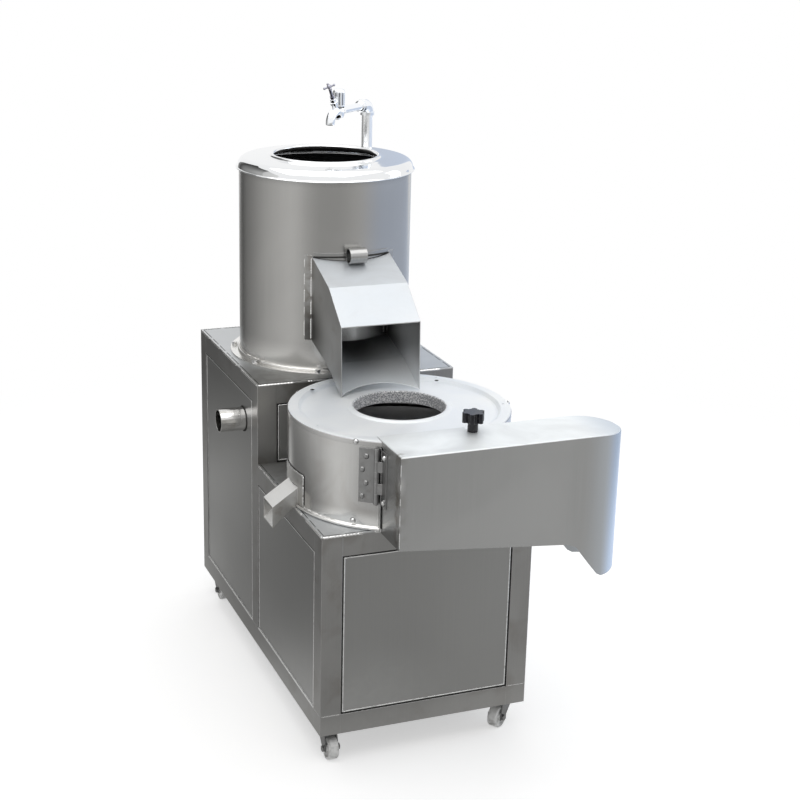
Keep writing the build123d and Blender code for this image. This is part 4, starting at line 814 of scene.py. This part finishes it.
def swept(shape, rings, sides=32, flutes=0.0):
    """A round skin through rings, each a centre, the direction through it and a radius; flutes are cut ten round."""
    loops = []
    for centre, through, radius in rings:
        first = Vector((0, 1, 0))
        second = first.cross(Vector(through).normalized())
        loops.append([
            shape.verts.new(Vector(centre) + (second * math.cos(a) + first * math.sin(a))
                            * (radius - flutes * max(0.0, math.cos(10 * a)) ** 2))
            for a in (math.tau * k / sides for k in range(sides))
        ])
    join(shape, loops)


# The tap is cast brass under its chrome: a straight arm, a boss with a drain screw
# below, a bonnet ribbed for the hand under a domed cap, and a short bent nozzle.
tap_x, tap_y, arm_z, arm_bearing = 0.08902, 0.40372, 1.260, math.radians(220)
bonnet_x, nozzle_out, bend_r = 0.106, 0.038, 0.025
along_arm, upwards = (1, 0, 0), (0, 0, 1)
tap_cast = bmesh.new()
swept(tap_cast, [((x, 0, 0), along_arm, r) for x, r in (
    (-0.003, 0.0130), (-0.002, 0.0140), (0.007, 0.0140), (0.008, 0.0130), (0.0085, 0.0100), (0.030, 0.0088),
    (0.080, 0.0088), (0.094, 0.0105), (0.104, 0.0125))])
boss = ((-0.0165, 0.0060), (-0.0150, 0.0110), (-0.0090, 0.0138), (0.0000, 0.0142), (0.0060, 0.0128),
        (0.0100, 0.0110), (0.0110, 0.0110))
collar = ((0.0100, 0.0125), (0.0110, 0.0143), (0.0135, 0.0145))
ribbed = ((0.0134, 0.0145), (0.0435, 0.0145))
cap = ((0.0434, 0.0145), (0.0460, 0.0144), (0.0480, 0.0136), (0.0500, 0.0118), (0.0516, 0.0090),
       (0.0527, 0.0050), (0.0530, 0.0010))
drain_screw = ((-0.0200, 0.0040), (-0.0194, 0.0050), (-0.0100, 0.0052))
for rings, beyond, *fluted in (
    (boss, 0), (collar, 0), (ribbed, 0, 120, 0.0014), (cap, 0), (drain_screw, 0.004),
):
    swept(tap_cast, [((bonnet_x + beyond, 0, z), upwards, r) for z, r in rings], *fluted)
bend_x, nozzle = bonnet_x + nozzle_out - bend_r, [((bonnet_x, 0, 0), along_arm, 0.0118)]
for k in range(10):
    t = math.radians(90 - 10 * k)
    nozzle.append((
        (bend_x + bend_r * math.cos(t), 0, bend_r * math.sin(t) - bend_r), (math.sin(t), 0, -math.cos(t)),
        0.0116 - 0.0001 * k,
    ))
for drop, r in ((0.003, 0.0105), (0.0035, 0.0102), (0.0035, 0.0080), (-0.008, 0.0078)):
    nozzle.append(((bend_x + bend_r, 0, -bend_r - drop), (0, 0, -1), r))
swept(tap_cast, nozzle)
stem_foot, stem_lean = Vector((bonnet_x + 0.022, 0, 0.021)), Vector((0.5, 0, 0.8660))
swept(tap_cast, [(stem_foot + stem_lean * up, stem_lean, r) for up, r in (
    (-0.0160, 0.0070), (-0.0035, 0.0070), (-0.0030, 0.0090), (0.0030, 0.0090), (0.0035, 0.0070), (0.0110, 0.0068),
    (0.0118, 0.0060))])
tap_place = Matrix.Translation((tap_x, tap_y, arm_z)) @ Matrix.Rotation(arm_bearing, 4, "Z")
bmesh.ops.transform(tap_cast, matrix=tap_place, verts=tap_cast.verts)
bmesh.ops.recalc_face_normals(tap_cast, faces=tap_cast.faces)
tap_skin = add_mesh("tap_casting", tap_cast, chrome)
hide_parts("tap_body")

# Dark strips in the bonnet's flutes and under its collar are painted shade.
bonnet_axis = Vector((bonnet_x, 0, 0))
flute_lines = bmesh.new()
for k in range(10):
    flute = [bonnet_axis + bearing_out(36 * k) * 0.0130 + Vector((0, 0, z)) for z in (0.0142, 0.0428)]
    band(flute_lines, flute, 0.0032, 0.0007, axis=bonnet_axis)
band(flute_lines, [bonnet_axis + bearing_out(15 * k) * 0.0124 + Vector((0, 0, 0.0086)) for k in range(25)],
     0.0018, 0.0006, axis=bonnet_axis)
bmesh.ops.transform(flute_lines, matrix=tap_place, verts=flute_lines.verts)
add_painted_shade("bonnet_flute_shade", flute_lines)

# -------- slicer drum and lid
# Rolled shell on the low deck with a welded rod round its foot, and a sand-cast
# aluminium lid, machined on its rim, with a rough feed opening.
slicer_x, slicer_y, slicer_r = -0.04125, -0.2135, 0.239
# Painted highlight: a stretch of the foot rod near the hinge is painted near white.
wall_steel = steel("wall_steel", (0.57, 0.566, 0.558), 0.20, upright=(500, 500, 4), contrast=0.06, clouds=0.18,
                   cloud_size=3.5, edge=0.9, edge_radius=0.0014, stained=0.2,
                   local=(((-0.19, -0.40, 0.531), (0.12, 0.12, 1), 0.028, 1.0, 0.1, (1.0, 0.995, 0.98)),))
finish("slicer_drum", wall_steel)
lid_metal, tree, skin = new_skin("cast_aluminium")
here = position(tree)
cloudy = effect(tree, shop_marks, "Clouds", Size=7.0, Low=0.36, High=0.66)
tone = blend(tree, cloudy, (0.92, 0.955, 0.99), (0.97, 0.99, 1.0))
# The wall of the feed opening is left rough from the sand; the skirt is turned bright.
from_axis = effect(tree, local_marks, "Mask", Place=(slicer_x, slicer_y, 0), Across=(1, 1, 0), Reach=1.0, Broken=0.0)
rough_wall = ranged(tree, from_axis, 0.9705, 0.9720)
grains = lay(tree, "TexVoronoi", {"Vector": here, "Scale": 330.0}).outputs["Distance"]
grainy = blend(tree, ranged(tree, grains, 0.25, 0.75, 0.08, 0.95), (0.22, 0.23, 0.26), (1.0, 1.0, 1.0))
low_part = ranged(tree, lay(tree, "SeparateXYZ", {0: here}).outputs["Z"], 0.7088, 0.7078)
turned = number(tree, "MULTIPLY", ranged(tree, from_axis, 0.8566, 0.8561), low_part, clamp=True)
surface = blend(tree, turned, blend(tree, rough_wall, tone, grainy), (0.56, 0.556, 0.55))
metal = ranged(tree, turned, 0.0, 1.0, 0.16, 1.0)
gloss = lay(tree, "Mix", {0: turned, 2: ranged(tree, cloudy, 0.0, 1.0, 0.30, 0.42), 3: 0.22}).outputs[0]
plug(tree, skin, {"Base Color": surface, "Metallic": metal, "Roughness": gloss})
pitted = number(tree, "MULTIPLY", rough_wall, grains)
height = number(tree, "MULTIPLY_ADD", pitted, 6.0, noise(tree, here, 340.0, 4.0))
emboss(tree, skin, height, 0.00018, Normal=effect(tree, edge_rounding_and_highlight, "Normal", Radius=0.0012))
finish("slicer_lid", lid_metal)


def round_slicer(bearing, z, reach=slicer_r):
    """A point on the slicer's wall, or at another reach from its axis."""
    return Vector((slicer_x, slicer_y, z)) + bearing_out(bearing) * reach


def round_head(shape, centre, out, radius, high):
    """A low dome that faces out."""
    across = out.cross(Vector((0, 0, 1))).normalized()
    up = across.cross(out)
    spokes = [across * math.cos(a) + up * math.sin(a) for a in (math.tau * k / 20 for k in range(20))]
    join(shape, [
        [shape.verts.new(centre + out * high * math.sin(t) + spoke * radius * math.cos(t)) for spoke in spokes]
        for t in map(math.radians, (0, 25, 50, 72))
    ], first_cap=False)


def screw_heads(name, places, seat_r, head_r, body="machine", domed=0.9):
    """Round-head screws over rings painted dark as their shade; each place is a point and the bearing that it faces.
    """
    shade_rings, heads = bmesh.new(), bmesh.new()
    for point, bearing in places:
        out = bearing_out(bearing)
        round_head(shade_rings, point, out, seat_r, 0.0005)
        round_head(heads, point + out * 0.0003, out, head_r, head_r * domed)
    add_mesh(name + "_seats", shade_rings, painted_shade, body=body)
    add_mesh(name, heads, bolt_steel, body=body)


# Four larger screws hold the lid's skirt, and four the foot of the wall.
screw_heads("lid_skirt_screws", [(round_slicer(a, 0.7046, 0.2396), a) for a in (-133, 137, 47, -10)], 0.0060, 0.0052)
screw_heads("wall_foot_screws", [(round_slicer(a, 0.533, 0.2391), a) for a in (-134, 136, 46, -11)], 0.0062, 0.0054)

# A strip of the same sheet stiffens the outlet's edge behind the hinge.
outlet_strip, strip_low, strip_high, strip_thick = bmesh.new(), 0.520, 0.6965, 0.001
for k in range(6):
    first, last = -123.4 + 0.5 * k, -122.9 + 0.5 * k
    corners = [
        outlet_strip.verts.new(round_slicer(bearing, z, 0.2389))
        for bearing, z in ((first, strip_low), (last, strip_low), (last, strip_high), (first, strip_high))
    ]
    outlet_strip.faces.new(corners)
    inwards = bearing_out((first + last) / 2) * strip_thick
    outlet_strip.faces.new(reversed([outlet_strip.verts.new(v.co - inwards) for v in corners]))
bmesh.ops.remove_doubles(outlet_strip, verts=outlet_strip.verts, dist=0.00001)
add_mesh("outlet_edge_strip", outlet_strip, wall_steel)

# Two blind holes in the lid are shallow dark discs, painted shade.
lid_holes, lid_top, hole_sides = bmesh.new(), 0.7112, 20
for x, y in ((-0.1845, -0.0557), (0.103, -0.0745)):
    join(lid_holes, [
        [lid_holes.verts.new(Vector((x, y, z)) + bearing_out(360 * k / hole_sides) * r) for k in range(hole_sides)]
        for r, z in ((0.0046, lid_top), (0.0042, lid_top - 0.0004))
    ], first_cap=False)
add_mesh("lid_blind_holes", lid_holes, painted_shade)

# -------- rinse spout
# A small folded trough on the slicer's left. A broken bead marks the patch that it is
# welded to, and a dark line along the patch's edge is painted shade.
# Painted light: the spout's level faces are painted near white.
finish("rinse_spout", steel(
    "spout_steel", (0.53, 0.525, 0.51), 0.31, upright=(300, 300, 30), contrast=0.08, clouds=0.3, cloud_size=16.0,
    edge=0.9, edge_radius=0.0012, stained=0.4, top_lightening=1.0, top_light_colour=(1.0, 1.0, 0.985)))

patch_edge, patch_low, patch_high = 12.9, 0.530, 0.5935
bead_reach, line_reach = slicer_r + 0.0008, slicer_r + 0.0002
patch_beads = []
for bearing in (180 - patch_edge, 180 + patch_edge):
    for low, high in ((patch_low, 0.548), (0.552, 0.571), (0.575, patch_high)):
        ends = round_slicer(bearing, low, bead_reach), round_slicer(bearing, high, bead_reach)
        patch_beads.append((ends, bearing_out(bearing)))
for first, last in ((167.5, 174.0), (176.0, 183.0), (185.5, 192.5)):
    arc = [round_slicer(first + (last - first) * k / 5, patch_high + 0.0006, bead_reach) for k in range(6)]
    patch_beads.append((arc, bearing_out((first + last) / 2)))
weld("spout_patch_welds", patch_beads, wide=0.0050, high=0.0018, seed=21)
patch_line = bmesh.new()
for bearing in (180 - patch_edge - 0.75, 180 + patch_edge + 0.75):
    ends = [round_slicer(bearing, z, line_reach) for z in (patch_low, patch_high + 0.002)]
    band(patch_line, ends, 0.0020, 0.0006, axis=(slicer_x, slicer_y))
top_line = [round_slicer(166.8 + 2.2 * k, 0.5968, line_reach) for k in range(13)]
band(patch_line, top_line, 0.0018, 0.0006, axis=(slicer_x, slicer_y))
add_painted_shade("spout_patch_line", patch_line)

# -------- cutter
# A turned disc with sweeping vanes underneath and three screwed-on knives, ground
# brighter than the disc.
finish("cutter_disc", steel(
    "cutter_metal", (0.40, 0.40, 0.405), 0.25, upright=(120, 120, 120), level=(160, 160, 160), contrast=0.14,
    clouds=0.25, cloud_size=12.0))
finish("cutter_blades", steel(
    "knife_steel", (0.56, 0.57, 0.58), 0.16, grain=(80, 900, 80), contrast=0.1, edge=0.9, edge_radius=0.0006))

# -------- discharge hood
# A box folded from thin sheet, open behind and below, with rounded right-hand
# corners; it swings out on the knuckle hinge at its left end.
# Painted light: the hood's level faces are painted near white, and a bluish painted reflection lies on its right end.
hood_steel = steel("hood_steel", (0.42, 0.422, 0.42), 0.25, upright=(650, 650, 4), level=(5, 650, 650), contrast=0.06,
                   clouds=0.15, cloud_size=3.0, edge=0.9, edge_radius=0.0013, top_lightening=1.0,
                   top_light_colour=(0.95, 0.985, 1.0),
                   local=(((-0.162, -0.514, 0), (1, 1, 0), 0.026, 0.75, 1.0, heat_stain),
                          ((-0.162, -0.522, 0.655), (1, 1, 0.5), 0.016, 0.9, 0.6, (0.85, 0.85, 0.84)),
                          ((-0.162, -0.518, 0.545), (1, 1, 0.6), 0.012, 0.9, 0.6, (0.85, 0.85, 0.84)),
                          ((0.345, -0.50, 0), (1, 0.3, 0), 0.105, 0.95, 0.0, (0.62, 0.68, 0.75))))
finish("discharge_hood", hood_steel)

corner_x, corner_y = -0.1616, -0.5288
corner_beads = [
    (((corner_x, corner_y, low), (corner_x, corner_y, high)), (-1, -1, 0))
    for low, high in broken(0.522, 0.700, 0.706, (0.012, 0.040), (0.004, 0.022))
]
weld("hood_corner_weld", corner_beads, wide=0.0026, high=0.0008, seed=31, body="hood")

# A turned-in lip closes the hood's left plate against the barrel and the wall.
hood_lip, lip_x, lip_y = bmesh.new(), -0.1640, -0.42385
strip(hood_lip, (lip_x, lip_y, 0.5175), (lip_x, lip_y, 0.6975), (-1, 0, 0), 0.0103, 0.0008)
add_mesh("hood_lip", hood_lip, hood_steel, body="hood", smooth=False)

# -------- hinge and star knob
# A welded knuckle hinge with round-head screws, and a glossy black star knob on
# a threaded stud that clamps the hood's slot.
finish("hinge_fixed_leaf hinge_moving_leaf", steel(
    "leaf_steel", (0.30, 0.30, 0.30), 0.33, upright=(300, 300, 20), contrast=0.1, edge=0.9, edge_radius=0.0008,
    clouds=0.3, cloud_size=40.0, stained=0.3))
finish("knob_stud", bolt_steel)
screw_heads("fixed_leaf_screws", [
    (round_slicer(a, z, 0.2412), a)
    for a, z in ((-129.3, 0.5902), (-127.4, 0.6189), (-129.3, 0.6476), (-127.4, 0.6763))
], 0.0056, 0.0038, domed=0.75)
screw_heads("moving_leaf_screws", [(Vector((-0.1639, -0.4457, z)), 180) for z in (0.588, 0.6835)],
            0.0068, 0.0054, body="hood", domed=1.0)
bakelite = moulded("black_bakelite", (0.007, 0.007, 0.012), 0.22, speckle=0.1, coat=0.35, bump=0.00002, dirty=0.08)
bakelite.node_tree.nodes["Principled BSDF"].inputs["Specular IOR Level"].default_value = 0.2
finish("star_knob", bakelite)

# -------- switch box and gland
# A grey moulded box with a flush start and a raised stop button for each motor,
# and a nylon gland low on the rear panel where the supply cable goes in.
finish("switch_box", moulded("grey_plastic", (0.46, 0.47, 0.48), 0.48, dirty=0.15))
finish("cable_gland", moulded("black_plastic", (0.022, 0.022, 0.023), 0.42, dirty=0.2, dirt=(0.10, 0.10, 0.09)))
finish("peeler_start_button slicer_start_button", moulded("green_button", (0.03, 0.34, 0.10), 0.30, coat=0.3))
finish("peeler_stop_button slicer_stop_button", moulded("red_button", (0.50, 0.025, 0.02), 0.30, coat=0.3))
